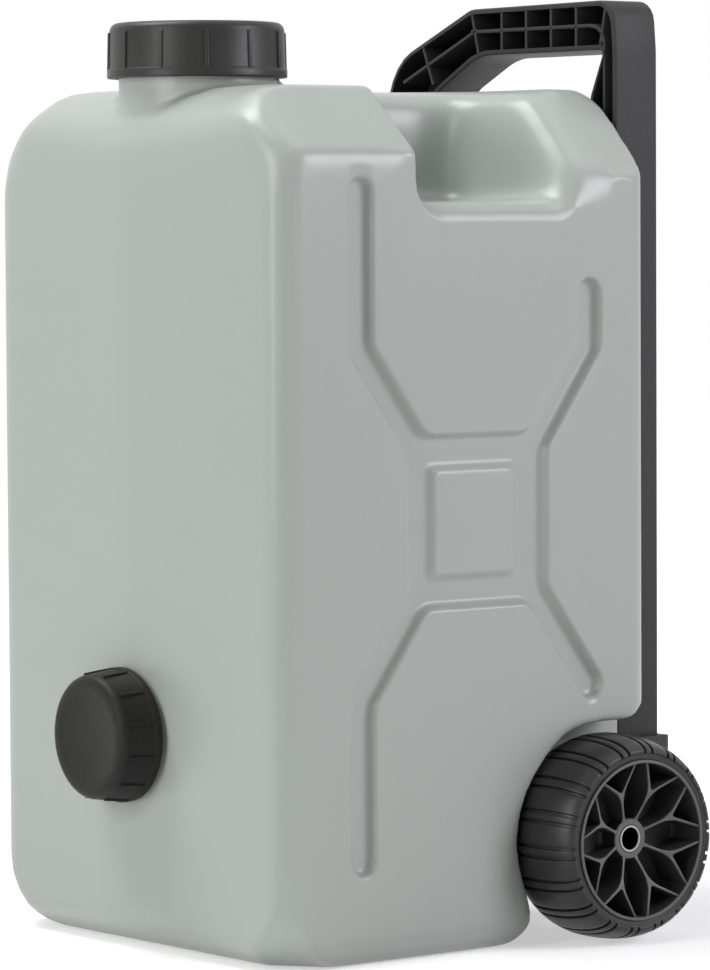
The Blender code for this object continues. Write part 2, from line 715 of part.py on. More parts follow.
def spoke_outline(angle):
    """One Y-shaped spoke: a stem from the hub to the fork and two branches to the rim."""
    rim = RIM_RADIUS - RIM_WALL + MM
    hub = HUB_RADIUS - MM
    half = SPOKE_WIDTH / 2
    fork = Vector((SPOKE_FORK_RADIUS, 0))
    tip = Vector((rim * math.cos(SPOKE_FORK_ANGLE), rim * math.sin(SPOKE_FORK_ANGLE)))
    along = (tip - fork).normalized()
    side = Vector((-along.y, along.x)) * half
    inner_fork = fork + Vector((half / math.sin(math.atan2(along.y, along.x)), 0))
    crook = fork + Vector((-half * math.tan(math.atan2(along.y, along.x) / 2), half))
    upper = [Vector((hub, half)), crook, tip + side, tip - side]
    lower = [Vector((p.x, -p.y)) for p in reversed(upper)]
    turn = Matrix.Rotation(angle, 2)
    return [tuple(turn @ p) for p in upper + [inner_fork] + lower]


def make_rim(name, side, plastic):
    """The wheel's moulded rim about Z, outer face up: barrel, web, hub and Y-shaped spokes."""
    half = TYRE_WIDTH / 2
    inner = RIM_RADIUS - RIM_WALL
    hub_face = half - HUB_INSET
    hub_back = hub_face - HUB_LENGTH
    web_top = half - WEB_INSET
    web_foot = web_top - WEB_THICKNESS
    bore = AXLE_RADIUS + RUNNING_GAP
    profile = [
        (RIM_RADIUS - MM, half),
        (RIM_RADIUS, half - MM),
        (RIM_RADIUS, -half),
        (inner, -half),
        (inner, web_foot),
        (HUB_RADIUS, web_foot),
        (HUB_RADIUS, hub_back),
        (bore, hub_back),
        (bore, hub_face - 2 * AXLE_FLARE),
        (bore + AXLE_FLARE, hub_face - AXLE_FLARE),
        (bore + AXLE_FLARE, hub_face),
        (HUB_RADIUS, hub_face),
        (HUB_RADIUS, web_top),
        (inner, web_top),
        (inner, half),
    ]
    rim = turned(name, profile, 40)
    dish = turned(
        f"{name}_dish",
        [(inner + MM, half - 0.6 * MM), (inner + MM, web_top - MM), (HUB_RADIUS - MM, web_top - MM), (HUB_RADIUS - MM, hub_face - 0.2 * MM)],
        40,
        helper=True,
    )
    spokes = bmesh.new()
    for number in range(SPOKES):
        angle = math.tau * (number + 0.5) / SPOKES
        spoke = prism(f"{name}_spoke_{number}", spoke_outline(angle), web_top - MM / 2, half, "Z")
        spokes.from_mesh(spoke.data)
        bpy.data.objects.remove(spoke, do_unlink=True)
    mesh = bpy.data.meshes.new(f"{name}_spokes")
    spokes.to_mesh(mesh)
    spokes.free()
    star = add_object(f"{name}_spokes", mesh, helper=True)
    common(star, dish)
    join(rim, star)
    for helper in (dish, star):
        helper.parent = rim
    lay_along_x(rim, (side * WHEEL_MIDDLE, AXLE_Y, AXLE_HEIGHT), side)
    return finish(rim, plastic)


def tyre_profile(bore):
    half = TYRE_WIDTH / 2
    crown = TYRE_CROWN / 2
    rise = TYRE_RADIUS - TYRE_EDGE_RADIUS
    outer = [(TYRE_EDGE_RADIUS, half)]
    for step in range(1, 5):
        angle = math.radians(90 * step / 4)
        outer.append((TYRE_EDGE_RADIUS + rise * math.sin(angle), crown + (half - crown) * math.cos(angle)))
    lower = [(radius, -height) for radius, height in reversed(outer)]
    return outer + lower + [(bore, -half), (bore, half)]


def make_tyre(name, side, rubber):
    tyre = turned(name, tyre_profile(RIM_RADIUS + SEAT_GAP), 60)
    lay_along_x(tyre, (side * WHEEL_MIDDLE, AXLE_Y, AXLE_HEIGHT), side)
    return finish(tyre, rubber)


def make_axle(steel):
    """A steel tube through both brackets, flared at its ends to hold the wheels."""
    end = HUB_FACE + 0.2 * MM
    bore = AXLE_RADIUS - AXLE_WALL
    flare_start = HUB_FACE - 2 * AXLE_FLARE + SEAT_GAP
    flare = AXLE_RADIUS + AXLE_FLARE
    half = [(flare, end), (flare, flare_start + AXLE_FLARE), (AXLE_RADIUS, flare_start)]
    profile = half + [(radius, -height) for radius, height in reversed(half)]
    profile += [(bore + AXLE_FLARE, -end), (bore, -flare_start), (bore, flare_start), (bore + AXLE_FLARE, end)]
    axle = turned("axle", profile, 32)
    lay_along_x(axle, (0, AXLE_Y, AXLE_HEIGHT))
    return finish(axle, steel)


def make_wheel_spacers(plastic, steel):
    """A sleeve and a washer between each bracket and its wheel."""
    bore = AXLE_RADIUS + RUNNING_GAP
    for word, side in (("right", 1), ("left", -1)):
        washer_start = HUB_BACK - RUNNING_GAP - WASHER_THICKNESS
        sleeve_start = BRACKET_OUTER + SEAT_GAP
        sleeve_end = washer_start - SEAT_GAP
        sleeve = turned(f"{word}_axle_spacer", ring_profile(bore, SPACER_RADIUS, sleeve_start, sleeve_end), 28)
        washer_profile = ring_profile(bore, WASHER_RADIUS, washer_start, washer_start + WASHER_THICKNESS)
        washer = turned(f"{word}_wheel_washer", washer_profile, 28)
        for obj, made in ((sleeve, plastic), (washer, steel)):
            lay_along_x(obj, (0, AXLE_Y, AXLE_HEIGHT), side)
            finish(obj, made)


def frame_corners(inset):
    """The frame's outer and window corners in XZ. One shoulder slopes, and the other is square."""
    outer = FRAME_HALF_WIDTH - inset
    rail = FRAME_HALF_WIDTH - RAIL_WIDTH + inset
    top = FRAME_TOP - inset
    bar = FRAME_TOP - CROSSBAR_HEIGHT + inset
    slope = math.atan2(SHOULDER_DROP, FRAME_HALF_WIDTH - SHOULDER_START)
    shift = inset * math.tan(slope / 2)
    drop = SHOULDER_DROP - inset * (1 / math.cos(slope) - math.tan(slope))
    outside = [
        (outer, RAIL_FOOT),
        (outer, top),
        (-SHOULDER_START + shift, top),
        (-outer, FRAME_TOP - drop - inset / math.cos(slope)),
        (-outer, RAIL_FOOT),
    ]
    window_start = -SHOULDER_START + CROSSBAR_HEIGHT * math.tan(slope / 2) - shift
    window_drop = (rail + window_start) * math.tan(slope)
    low = LOWER_BAR_TOP - inset
    lean = FRAME_HALF_WIDTH - RAIL_TOP_WIDTH + inset
    knee = FRAME_TOP - CROSSBAR_HEIGHT - RAIL_TAPER
    right = [(rail, low), (rail, knee), (lean, bar)]
    return outside, right + [(window_start, bar), (-rail, bar - window_drop), (-rail, low)]


def make_frame(plastic):
    """The moulded trolley frame: a ribbed hoop, open towards the tank, with two legs."""
    outside, window = frame_corners(0)
    outer_radii = [0, FRAME_CORNER_RADIUS, 12 * MM, 20 * MM, 0]
    window_radii = [6 * MM, 12 * MM, 3 * MM, 26 * MM, 20 * MM, 6 * MM]
    hoop = prism(
        "trolley_frame",
        rounded(outside, outer_radii),
        FRAME_FRONT,
        FRAME_REAR,
        "Y",
        helper=False,
        holes=(rounded(window, window_radii),),
    )
    gap_half = FRAME_HALF_WIDTH - RAIL_WIDTH
    below = LOWER_BAR_TOP - LOWER_BAR_HEIGHT
    cut(hoop, box("leg_gap", (-gap_half, FRAME_FRONT - MM, RAIL_FOOT - MM), (gap_half, FRAME_REAR + MM, below)))

    inner_outside, inner_window = frame_corners(FRAME_WALL)
    pocket_outer = [(x, max(z, RAIL_FOOT + FRAME_WALL)) for x, z in inner_outside]
    pocket = prism(
        "frame_pocket",
        rounded(pocket_outer, [0, FRAME_CORNER_RADIUS - FRAME_WALL, 12 * MM, 17 * MM, 0]),
        FRAME_FRONT - MM,
        FRAME_REAR - FRAME_BACK,
        "Y",
        holes=(rounded(inner_window, [8 * MM, 12 * MM, 5 * MM, 29 * MM, 23 * MM, 8 * MM]),),
    )
    leg_inner = gap_half + FRAME_WALL
    keep = box(
        "leg_wall",
        (-leg_inner, FRAME_FRONT - 2 * MM, RAIL_FOOT - 2 * MM),
        (leg_inner, FRAME_REAR, below + FRAME_WALL),
    )
    cut(pocket, keep, *frame_ribs())
    well_start = FRAME_FRONT + SCREW_SEAT
    for number, (across, height) in enumerate(screw_places()):
        seat = (across, 0, height)
        cut(pocket, drum(f"screw_boss_{number}", SCREW_BOSS_RADIUS, FRAME_FRONT - 2 * MM, FRAME_REAR, seat, "Y", sides=16))
    cut(hoop, pocket)
    for number, (across, height) in enumerate(screw_places()):
        seat = (across, 0, height)
        cut(hoop, drum(f"screw_well_{number}", SCREW_HEAD_RADIUS + MM, well_start, FRAME_REAR + MM, seat, "Y", sides=16))
        cut(hoop, drum(f"screw_hole_{number}", SCREW_RADIUS + SEAT_GAP, FRAME_FRONT - MM, well_start + MM, seat, "Y", sides=12))
    return finish(hoop, plastic)


def rib_plate(name, start, end):
    """A thin plate from one XZ point to another, as deep as the frame, which stays as a rib."""
    first, last = Vector(start), Vector(end)
    along = (last - first).normalized()
    side = Vector((-along.y, along.x)) * (FRAME_RIB / 2)
    outline = [tuple(p) for p in (first - side, last - side, last + side, first + side)]
    return prism(name, outline, FRAME_FRONT - 2 * MM, FRAME_REAR, "Y")


def frame_ribs():
    """The cross ribs of the crossbar, of the sloping shoulder and of the two legs."""
    ribs = []
    bite = FRAME_WALL / 2
    top, bar = FRAME_TOP - bite, FRAME_TOP - CROSSBAR_HEIGHT + bite
    middle = FRAME_TOP - CROSSBAR_HEIGHT / 2
    rail = FRAME_HALF_WIDTH - RAIL_WIDTH
    for number in range(4):
        across = CROSSBAR_RIB_START + CROSSBAR_CELL * number
        ribs.append(rib_plate(f"bar_rib_{number}", (across, bar), (across, top)))
    ribs.append(rib_plate("bar_middle_rib", (-SHOULDER_START, middle), (FRAME_HALF_WIDTH - RAIL_TOP_WIDTH, middle)))
    lean = FRAME_HALF_WIDTH - RAIL_TOP_WIDTH
    ribs.append(rib_plate("right_mitre_rib", (lean - 4 * MM, bar), (lean + 2 * MM, top)))
    slope = math.atan2(SHOULDER_DROP, FRAME_HALF_WIDTH - SHOULDER_START)
    down = Vector((-math.cos(slope), -math.sin(slope)))
    across_bar = Vector((math.sin(slope), -math.cos(slope)))
    knee = Vector((-SHOULDER_START, FRAME_TOP))
    reach = CROSSBAR_HEIGHT - bite
    ribs.append(rib_plate("left_mitre_rib", tuple(knee + Vector((0, -bite))), (-SHOULDER_START + 7 * MM, bar)))
    start = knee + down * SHOULDER_RIB
    ribs.append(rib_plate("shoulder_rib", tuple(start + across_bar * bite), tuple(start + across_bar * reach)))
    spine = knee + across_bar * (CROSSBAR_HEIGHT / 2)
    ribs.append(rib_plate("shoulder_middle_rib", tuple(spine), tuple(spine + down * (3.4 * CROSSBAR_CELL))))
    for side in (1, -1):
        inner, outer = side * (rail + bite), side * (FRAME_HALF_WIDTH - bite)
        floor = BRACKET_TOP - RAIL_CELL
        ceiling = FRAME_TOP - (CROSSBAR_HEIGHT if side > 0 else SHOULDER_DROP + CROSSBAR_HEIGHT)
        count = int((ceiling - floor) / RAIL_CELL)
        for number in range(count):
            low, high = floor + RAIL_CELL * number, floor + RAIL_CELL * (number + 1)
            ends = ((inner, low), (outer, high)) if number % 2 else ((outer, low), (inner, high))
            ribs.append(rib_plate(f"leg_rib_{side}_{number}", *ends))
    return ribs


def make_brackets(plastic):
    """The bracket at each leg's foot: a socket for the leg and an arm forward to the axle."""
    boss_y, boss_z = AXLE_Y, AXLE_HEIGHT
    socket_front = FRAME_FRONT - SEAT_GAP - (FRAME_FRONT_GAP - 2 * SEAT_GAP) + SEAT_GAP
    corners = [
        (socket_front, BRACKET_TOP),
        (socket_front, boss_z + AXLE_BOSS_RADIUS + 6 * MM),
        (boss_y, boss_z + AXLE_BOSS_RADIUS),
        (boss_y - AXLE_BOSS_RADIUS, boss_z + AXLE_BOSS_RADIUS),
        (boss_y - AXLE_BOSS_RADIUS, boss_z - AXLE_BOSS_RADIUS),
        (boss_y, boss_z - AXLE_BOSS_RADIUS),
        (socket_front, BRACKET_FOOT),
        (FRAME_REAR + BRACKET_BACK, BRACKET_FOOT),
        (FRAME_REAR + BRACKET_BACK, BRACKET_TOP),
    ]
    nose = AXLE_BOSS_RADIUS - 0.1 * MM
    outline = rounded(corners, [0, 8 * MM, 10 * MM, nose, nose, 10 * MM, 8 * MM, 10 * MM, 0], 5)
    for word, side in (("right", 1), ("left", -1)):
        low, high = sorted((side * BRACKET_INNER, side * BRACKET_OUTER))
        bracket = prism(f"{word}_axle_bracket", outline, low, high, "X", helper=False)
        rail_low, rail_high = sorted(
            (side * (FRAME_HALF_WIDTH - RAIL_WIDTH - SEAT_GAP), side * (FRAME_HALF_WIDTH + SEAT_GAP))
        )
        socket = box(
            f"{word}_socket",
            (rail_low, FRAME_FRONT - SEAT_GAP, RAIL_FOOT - SEAT_GAP),
            (rail_high, FRAME_REAR + SEAT_GAP, BRACKET_TOP + 10 * MM),
        )
        cut(bracket, socket)
        seat = (0, AXLE_Y, AXLE_HEIGHT)
        cut(bracket, drum(f"{word}_axle_bore", AXLE_RADIUS + SEAT_GAP, low - MM, high + MM, seat, "X", sides=32))
        finish(bracket, plastic)


def screw_profile(length):
    return [
        (0, SCREW_HEAD),
        (SCREW_HEAD_RADIUS - MM, SCREW_HEAD),
        (SCREW_HEAD_RADIUS, SCREW_HEAD - MM),
        (SCREW_HEAD_RADIUS, 0),
        (SCREW_RADIUS, 0),
        (SCREW_RADIUS, -length + 2 * MM),
        (SCREW_RADIUS / 2, -length),
        (0, -length),
    ]


def make_screws(steel):
    """The screws that hold the frame to the tank, driven from behind through the rails' wells."""
    seat_y = FRAME_FRONT + SCREW_SEAT + SEAT_GAP
    length = seat_y - REAR + SCREW_BITE - MM
    words = ("lower_right", "lower_left", "upper_right", "upper_left")
    for word, (across, height) in zip(words, screw_places()):
        screw = turned(f"frame_screw_{word}", screw_profile(length), 16)
        screw.rotation_euler = (math.radians(-90), 0, 0)
        screw.location = (across, seat_y, height)
        finish(screw, steel)


def main():
    start_scene()
    shell = material("grey_green_plastic", (0.43, 0.47, 0.43), 0.42)
    black = material("black_plastic", (0.045, 0.045, 0.043), 0.5)
    tyre_black = material("black_tyre", (0.035, 0.035, 0.034), 0.6)
    rubber = material("seal_rubber", (0.03, 0.03, 0.03), 0.8)
    steel = material("zinc_steel", (0.62, 0.62, 0.61), 0.3, 1.0)
    make_tank(shell)
    make_fill_cap(black, rubber)
    make_drain_cap(black, rubber)
    make_frame(black)
    make_brackets(black)
    make_axle(steel)
    make_wheel_spacers(black, steel)
    for word, side in (("right", 1), ("left", -1)):
        make_rim(f"{word}_wheel_rim", side, black)
        make_tyre(f"{word}_tyre", side, tyre_black)
    make_screws(steel)


main()
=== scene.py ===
"""Looks of a wheeled water tank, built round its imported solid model."""

import json
import math

import bmesh
import bpy
import numpy as np
from mathutils import Matrix, Vector

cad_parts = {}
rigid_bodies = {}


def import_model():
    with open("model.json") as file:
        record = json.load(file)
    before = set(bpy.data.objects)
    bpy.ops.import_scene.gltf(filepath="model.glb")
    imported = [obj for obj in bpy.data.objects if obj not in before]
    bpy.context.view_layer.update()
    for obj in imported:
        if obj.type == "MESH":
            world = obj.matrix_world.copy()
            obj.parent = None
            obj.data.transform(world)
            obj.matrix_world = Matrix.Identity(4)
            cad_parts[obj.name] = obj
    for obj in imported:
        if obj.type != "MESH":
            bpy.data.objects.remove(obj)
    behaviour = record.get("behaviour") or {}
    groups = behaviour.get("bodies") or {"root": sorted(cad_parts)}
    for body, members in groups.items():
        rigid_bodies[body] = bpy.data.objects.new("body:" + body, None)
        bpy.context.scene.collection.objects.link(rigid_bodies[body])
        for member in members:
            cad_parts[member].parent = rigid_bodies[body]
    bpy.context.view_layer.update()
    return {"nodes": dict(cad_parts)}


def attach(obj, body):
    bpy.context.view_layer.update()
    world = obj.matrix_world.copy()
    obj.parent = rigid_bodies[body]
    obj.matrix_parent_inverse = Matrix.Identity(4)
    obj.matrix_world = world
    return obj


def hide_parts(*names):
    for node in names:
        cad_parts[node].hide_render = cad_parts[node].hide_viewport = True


MM = 0.001

# Places on the solid model, in metres
PROW = -153.65 * MM
REAR = 139.35 * MM
NECK_Y = -96.15 * MM
NECK_RADIUS = 48 * MM
NECK_TOP = 557 * MM
DRAIN_HEIGHT = 132.5 * MM
DRAIN_NECK_RADIUS = 35 * MM
DRAIN_MOUTH = -175.65 * MM
AXLE_Y = 97.85 * MM
AXLE_HEIGHT = 65 * MM
AXLE_BORE = 6.55 * MM
WELL_RADIUS = 69.5 * MM
TANK_TOP = 524 * MM
TANK_HALF = 149 * MM

# Grip recesses, and their rounded lips at the tank's sides
GRIP_FRONT = -43.65 * MM
GRIP_REAR = 73.35 * MM
GRIP_FLOOR = 454 * MM
GRIP_LIP = 13 * MM
GRIP_LEAN = 16 * MM
GRIP_SOFTNESS = 6 * MM
GRIP_END = 22 * MM
GRIP_BENDS = (8 * MM, 14 * MM)
RIDGE_HALF = 25 * MM
LIP_BEND = 9 * MM
LIP_AHEAD = 1.5 * MM
LIP_BEHIND = 8.5 * MM
TOOL_REACH = 60 * MM

# Skin of the tank, and how far it is pushed
TANK_WALL = 2.6 * MM
MOUTH_TRIM = 1.5 * MM
SKIN_TRIANGLES = 88000
SHOULDER_FULLNESS = 7.5 * MM
CHANNEL_DEEPENING = 0.6
WELL_CLOSING_FRONT = 5 * MM
WELL_CLOSING_REAR = 0.6 * MM
ARCH_SHARE = 0.05

# Screw caps and threads
CAP_RIBS = 12
FILL_CAP_FOOT = 530 * MM
DRAIN_CAP_FOOT = PROW - 1.2 * MM
THREAD_TURNS = 2.2
THREAD_SINK = 0.7 * MM
FILL_THREAD_FOOT = 536 * MM
DRAIN_THREAD_FOOT = PROW - 6 * MM

# Trolley frame
FRAME_FRONT = 142.85 * MM
FRAME_REAR = 176.85 * MM
FRAME_TOP = 579.5 * MM
FRAME_HALF = 114 * MM
RAIL_WIDTH = 25 * MM
RAIL_TOP_WIDTH = 12 * MM
RAIL_FOOT = 34 * MM
CROSSBAR = 31 * MM
SHOULDER_START = 28 * MM
# How far the sloping shoulder falls, outside and on the window's side
SHOULDER_DROP = 36 * MM
SHOULDER_FALL = 46 * MM
CORNER_FOOT = 548 * MM
CORNER_LEAN = 2.6 * MM
WINDOW_FOOT = 150 * MM
KNEE_DROP = 29 * MM
LEG_TOP = 124 * MM
FRAME_WALL = 3.2 * MM
FRAME_BACK = 4 * MM
RIB = 2.4 * MM
BAR_CELL = 24.3 * MM
FIRST_BAR_RIB = 2.5 * MM
RAIL_CELL = 34 * MM
RAIL_RIBS_FOOT = 84 * MM
BOSS_HEIGHTS = (215 * MM, 430 * MM)
BOSS_RADIUS = 8.5 * MM
BOSS_LENGTH = 31 * MM
BOSS_FLOOR = 5 * MM
HEAD_BORE = 5.8 * MM
SCREW_BORE = 2.8 * MM

# Wheels
WHEEL_FACE = 188.5 * MM
TYRE_WIDTH = 54 * MM
TYRE_RADIUS = 63 * MM
TYRE_EDGE = 53.2 * MM
TYRE_BACK = 130.5 * MM
RIM_RADIUS = 49.2 * MM
RIM_WALL = 2 * MM
RIM_INSIDE = RIM_RADIUS - RIM_WALL
SPOKES = 8
SPOKE_FACE = WHEEL_FACE - 0.4 * MM
HUB_RADIUS = 12.3 * MM
HUB_FACE = 176.8 * MM
HUB_BACK = 144.8 * MM
HUB_BORE = 7.9 * MM
WEB_FACE = 163.5 * MM
TREAD_PARTS = 18
PART_STEPS = 10

# Colours, each with its opacity
TANK_DEEP = (0.418, 0.460, 0.420, 1)
TANK_PALE = (0.434, 0.474, 0.434, 1)
TANK_FLECK = (0.452, 0.492, 0.452, 1)
CAP_DARK = (0.017, 0.017, 0.016, 1)
CAP_PALE = (0.021, 0.021, 0.020, 1)
FRAME_DARK = (0.024, 0.024, 0.024, 1)
FRAME_PALE = (0.030, 0.030, 0.030, 1)
RIM_DARK = (0.030, 0.030, 0.030, 1)
RIM_PALE = (0.037, 0.037, 0.036, 1)
# Painted highlight colour for the rim's outermost faces
RIM_PAINTED_HIGHLIGHT = (0.15, 0.15, 0.147, 1)
TYRE_DARK = (0.013, 0.013, 0.0125, 1)
TYRE_PALE = (0.018, 0.018, 0.017, 1)
SEAL_DARK = (0.020, 0.020, 0.020, 1)
SEAL_PALE = (0.026, 0.026, 0.026, 1)
STEEL_DEEP = (0.27, 0.275, 0.28, 1)
STEEL_PALE = (0.38, 0.38, 0.37, 1)
# Painted shade colour for the inside of the axle tube's bore
BORE_PAINTED_SHADE = (0.008, 0.008, 0.008, 1)
FLOOR_DEEP = (0.86, 0.86, 0.86, 1)
FLOOR_PALE = (0.9, 0.9, 0.9, 1)
BLACK = (0, 0, 0, 1)
WHITE = (1, 1, 1, 1)


# Modelling steps


def clear_selection():
    if bpy.context.object and bpy.context.object.mode != "OBJECT":
        bpy.ops.object.mode_set(mode="OBJECT")
    bpy.ops.object.select_all(action="DESELECT")


def work_on(obj):
    clear_selection()
    obj.select_set(True)
    bpy.context.view_layer.objects.active = obj


def edit(obj):
    work_on(obj)
    bpy.ops.object.mode_set(mode="EDIT")


def pick(obj, kind, wanted):
    """Opens obj for editing with only the vertices, edges or faces selected that are wanted."""
    edit(obj)
    bpy.ops.mesh.select_mode(type=kind)
    bpy.ops.mesh.select_all(action="DESELECT")
    mesh = bmesh.from_edit_mesh(obj.data)
    items = {"VERT": mesh.verts, "EDGE": mesh.edges, "FACE": mesh.faces}[kind]
    for item in [item for item in items if wanted(item)]:
        item.select_set(True)
    mesh.select_flush_mode()
    bmesh.update_edit_mesh(obj.data)


def centre(item):
    points = [vertex.co for vertex in item.verts]
    return sum(points, Vector()) / len(points)


def use(obj, kind, **settings):
    """Adds one modifier to obj and applies it."""
    work_on(obj)
    modifier = obj.modifiers.new(kind.lower(), kind)
    for name, value in settings.items():
        setattr(modifier, name, value)
    bpy.ops.object.modifier_apply(modifier=modifier.name)
    return obj


def carve(obj, tool, operation="DIFFERENCE"):
    """Cuts tool out of obj, or adds it with operation UNION, and takes the tool away."""
    use(obj, "BOOLEAN", object=tool, operation=operation, solver="EXACT")
    bpy.data.objects.remove(tool)
    return obj


def merge_and_face_out(obj):
    """Merges doubled points and turns every face outwards."""
    edit(obj)
    bpy.ops.mesh.select_all(action="SELECT")
    bpy.ops.mesh.remove_doubles(threshold=0.01 * MM)
    bpy.ops.mesh.normals_make_consistent(inside=False)
    bpy.ops.object.mode_set(mode="OBJECT")
    return obj


def soften_edges(obj, width, segments, angle=35, shade=35):
    """Rounds the edges that are sharper than angle, and shades obj smooth up to shade."""
    use(obj, "BEVEL", width=width, segments=segments, limit_method="ANGLE", angle_limit=math.radians(angle))
    return smooth(obj, shade)


def smooth(obj, angle):
    work_on(obj)
    bpy.ops.object.shade_smooth_by_angle(angle=math.radians(angle))
    return obj


def joined(parts, name):
    work_on(parts[0])
    for part in parts:
        part.select_set(True)
    bpy.ops.object.join()
    parts[0].name = name
    return parts[0]


def copied(obj, name, turn):
    """A copy of obj with its own mesh, moved, turned or mirrored as turn says."""
    twin = obj.copy()
    twin.data = obj.data.copy()
    twin.name = name
    bpy.context.scene.collection.objects.link(twin)
    twin.data.transform(turn)
    if turn.determinant() < 0:
        twin.data.flip_normals()
    return twin


def about(axis, place, angle):
    """A turn about the line along axis through place."""
    return Matrix.Translation(place) @ Matrix.Rotation(angle, 4, axis) @ Matrix.Translation(-place)


def drawn_line(name, points, closed=False):
    """Draws a chain of edges from point to point."""
    clear_selection()
    bpy.ops.mesh.primitive_plane_add(size=MM, location=points[0])
    line = bpy.context.object
    line.name = name
    bpy.ops.object.transform_apply(location=True, rotation=False, scale=False)
    bpy.ops.object.mode_set(mode="EDIT")
    bpy.ops.mesh.select_mode(type="VERT")
    bpy.ops.mesh.select_all(action="SELECT")
    bpy.ops.mesh.merge(type="CENTER")
    for start, end in zip(points, points[1:]):
        bpy.ops.mesh.extrude_region_move(TRANSFORM_OT_translate={"value": end - start})
    bpy.ops.object.mode_set(mode="OBJECT")
    if closed:
        ends = (points[0], points[-1])
        pick(line, "VERT", lambda v: min((v.co - end).length for end in ends) < 0.001 * MM)
        bpy.ops.mesh.edge_face_add()
        bpy.ops.object.mode_set(mode="OBJECT")
    return line


AXES = {
    "X": lambda a, b, depth: Vector((depth, a, b)),
    "Y": lambda a, b, depth: Vector((a, depth, b)),
}


def rounded_line(name, corners, radii, depth, axis, steps):
    """A closed line in one plane with each corner rounded by its radius."""
    place = AXES[axis]
    points = [place(*corner, depth) for corner in corners]
    obj = drawn_line(name, points, closed=True)
    count = len(points)
    for number, radius in enumerate(radii):
        if radius <= 0:
            continue
        here = points[number]
        back = (points[number - 1] - here).normalized()
        on = (points[(number + 1) % count] - here).normalized()
        half = back.angle(on) / 2
        pick(obj, "VERT", lambda v: (v.co - here).length < 0.001 * MM)
        bpy.ops.mesh.bevel(offset=radius / math.tan(half), segments=steps, affect="VERTICES", profile=0.5)
        bpy.ops.object.mode_set(mode="OBJECT")
    return obj


def plate(name, corners, radii, low, high, axis="Y", steps=5):
    """A plate of any outline: its rounded line is filled and pulled out to its thickness."""
    obj = rounded_line(name, corners, radii, low, axis, steps)
    edit(obj)
    bpy.ops.mesh.select_all(action="SELECT")
    bpy.ops.mesh.edge_face_add()
    bpy.ops.mesh.select_all(action="SELECT")
    bpy.ops.mesh.extrude_region_move(TRANSFORM_OT_translate={"value": AXES[axis](0, 0, high - low)})
    bpy.ops.object.mode_set(mode="OBJECT")
    return merge_and_face_out(obj)


def lofted(name, lines):
    """Closed lines bridged one to the next, with both ends filled."""
    obj = joined(lines, name)
    edit(obj)
    bpy.ops.mesh.select_all(action="SELECT")
    bpy.ops.mesh.bridge_edge_loops()
    bpy.ops.object.mode_set(mode="OBJECT")
    pick(obj, "EDGE", lambda e: e.is_boundary)
    bpy.ops.mesh.edge_face_add()
    bpy.ops.object.mode_set(mode="OBJECT")
    return merge_and_face_out(obj)


def block(name, low, high):
    """A box between two corners."""
    low, high = Vector(low), Vector(high)
    clear_selection()
    bpy.ops.mesh.primitive_cube_add(size=1, location=(low + high) / 2, scale=high - low)
    obj = bpy.context.object
    obj.name = name
    bpy.ops.object.transform_apply(location=True, rotation=True, scale=True)
    return obj


def spun(name, profile, place, axis, steps, closed=True):
    """A turned shape: profile holds (radius, height) pairs, and height runs along axis from place."""
    away = {"X": Vector((0, 0, 1)), "Y": Vector((0, 0, 1)), "Z": Vector((1, 0, 0))}[axis]
    along = {"X": Vector((1, 0, 0)), "Y": Vector((0, 1, 0)), "Z": Vector((0, 0, 1))}[axis]
    place = Vector(place)
    points = [place + away * radius + along * height for radius, height in profile]
    obj = drawn_line(name, points, closed)
    edit(obj)
    bpy.ops.mesh.select_all(action="SELECT")
    bpy.ops.mesh.spin(steps=steps, angle=math.tau, center=place, axis=along, dupli=False)
    bpy.ops.object.mode_set(mode="OBJECT")
    return merge_and_face_out(obj)


def copy_of_node(node, name):
    """A copy of a solid's mesh with its loose triangles merged."""
    source = frame["nodes"][node]
    obj = bpy.data.objects.new(name, source.data.copy())
    bpy.context.scene.collection.objects.link(obj)
    edit(obj)
    bpy.ops.mesh.select_all(action="SELECT")
    bpy.ops.mesh.remove_doubles(threshold=0.005 * MM)
    bpy.ops.object.mode_set(mode="OBJECT")
    return obj


# Materials


class Amount:
    """A number that varies over a surface, with the arithmetic that a finish needs."""

    def __init__(self, finish, socket):
        self.finish, self.socket = finish, socket

    def _sum(self, operation, first, second):
        return self.finish.node("ShaderNodeMath", {"operation": operation}, [first, second])

    def __add__(self, other):
        return self._sum("ADD", self, other)

    def __radd__(self, other):
        return self._sum("ADD", other, self)

    def __sub__(self, other):
        return self._sum("SUBTRACT", self, other)

    def __rsub__(self, other):
        return self._sum("SUBTRACT", other, self)

    def __mul__(self, other):
        return self._sum("MULTIPLY", self, other)

    def __rmul__(self, other):
        return self._sum("MULTIPLY", other, self)

    def __pow__(self, other):
        return self._sum("POWER", self, other)


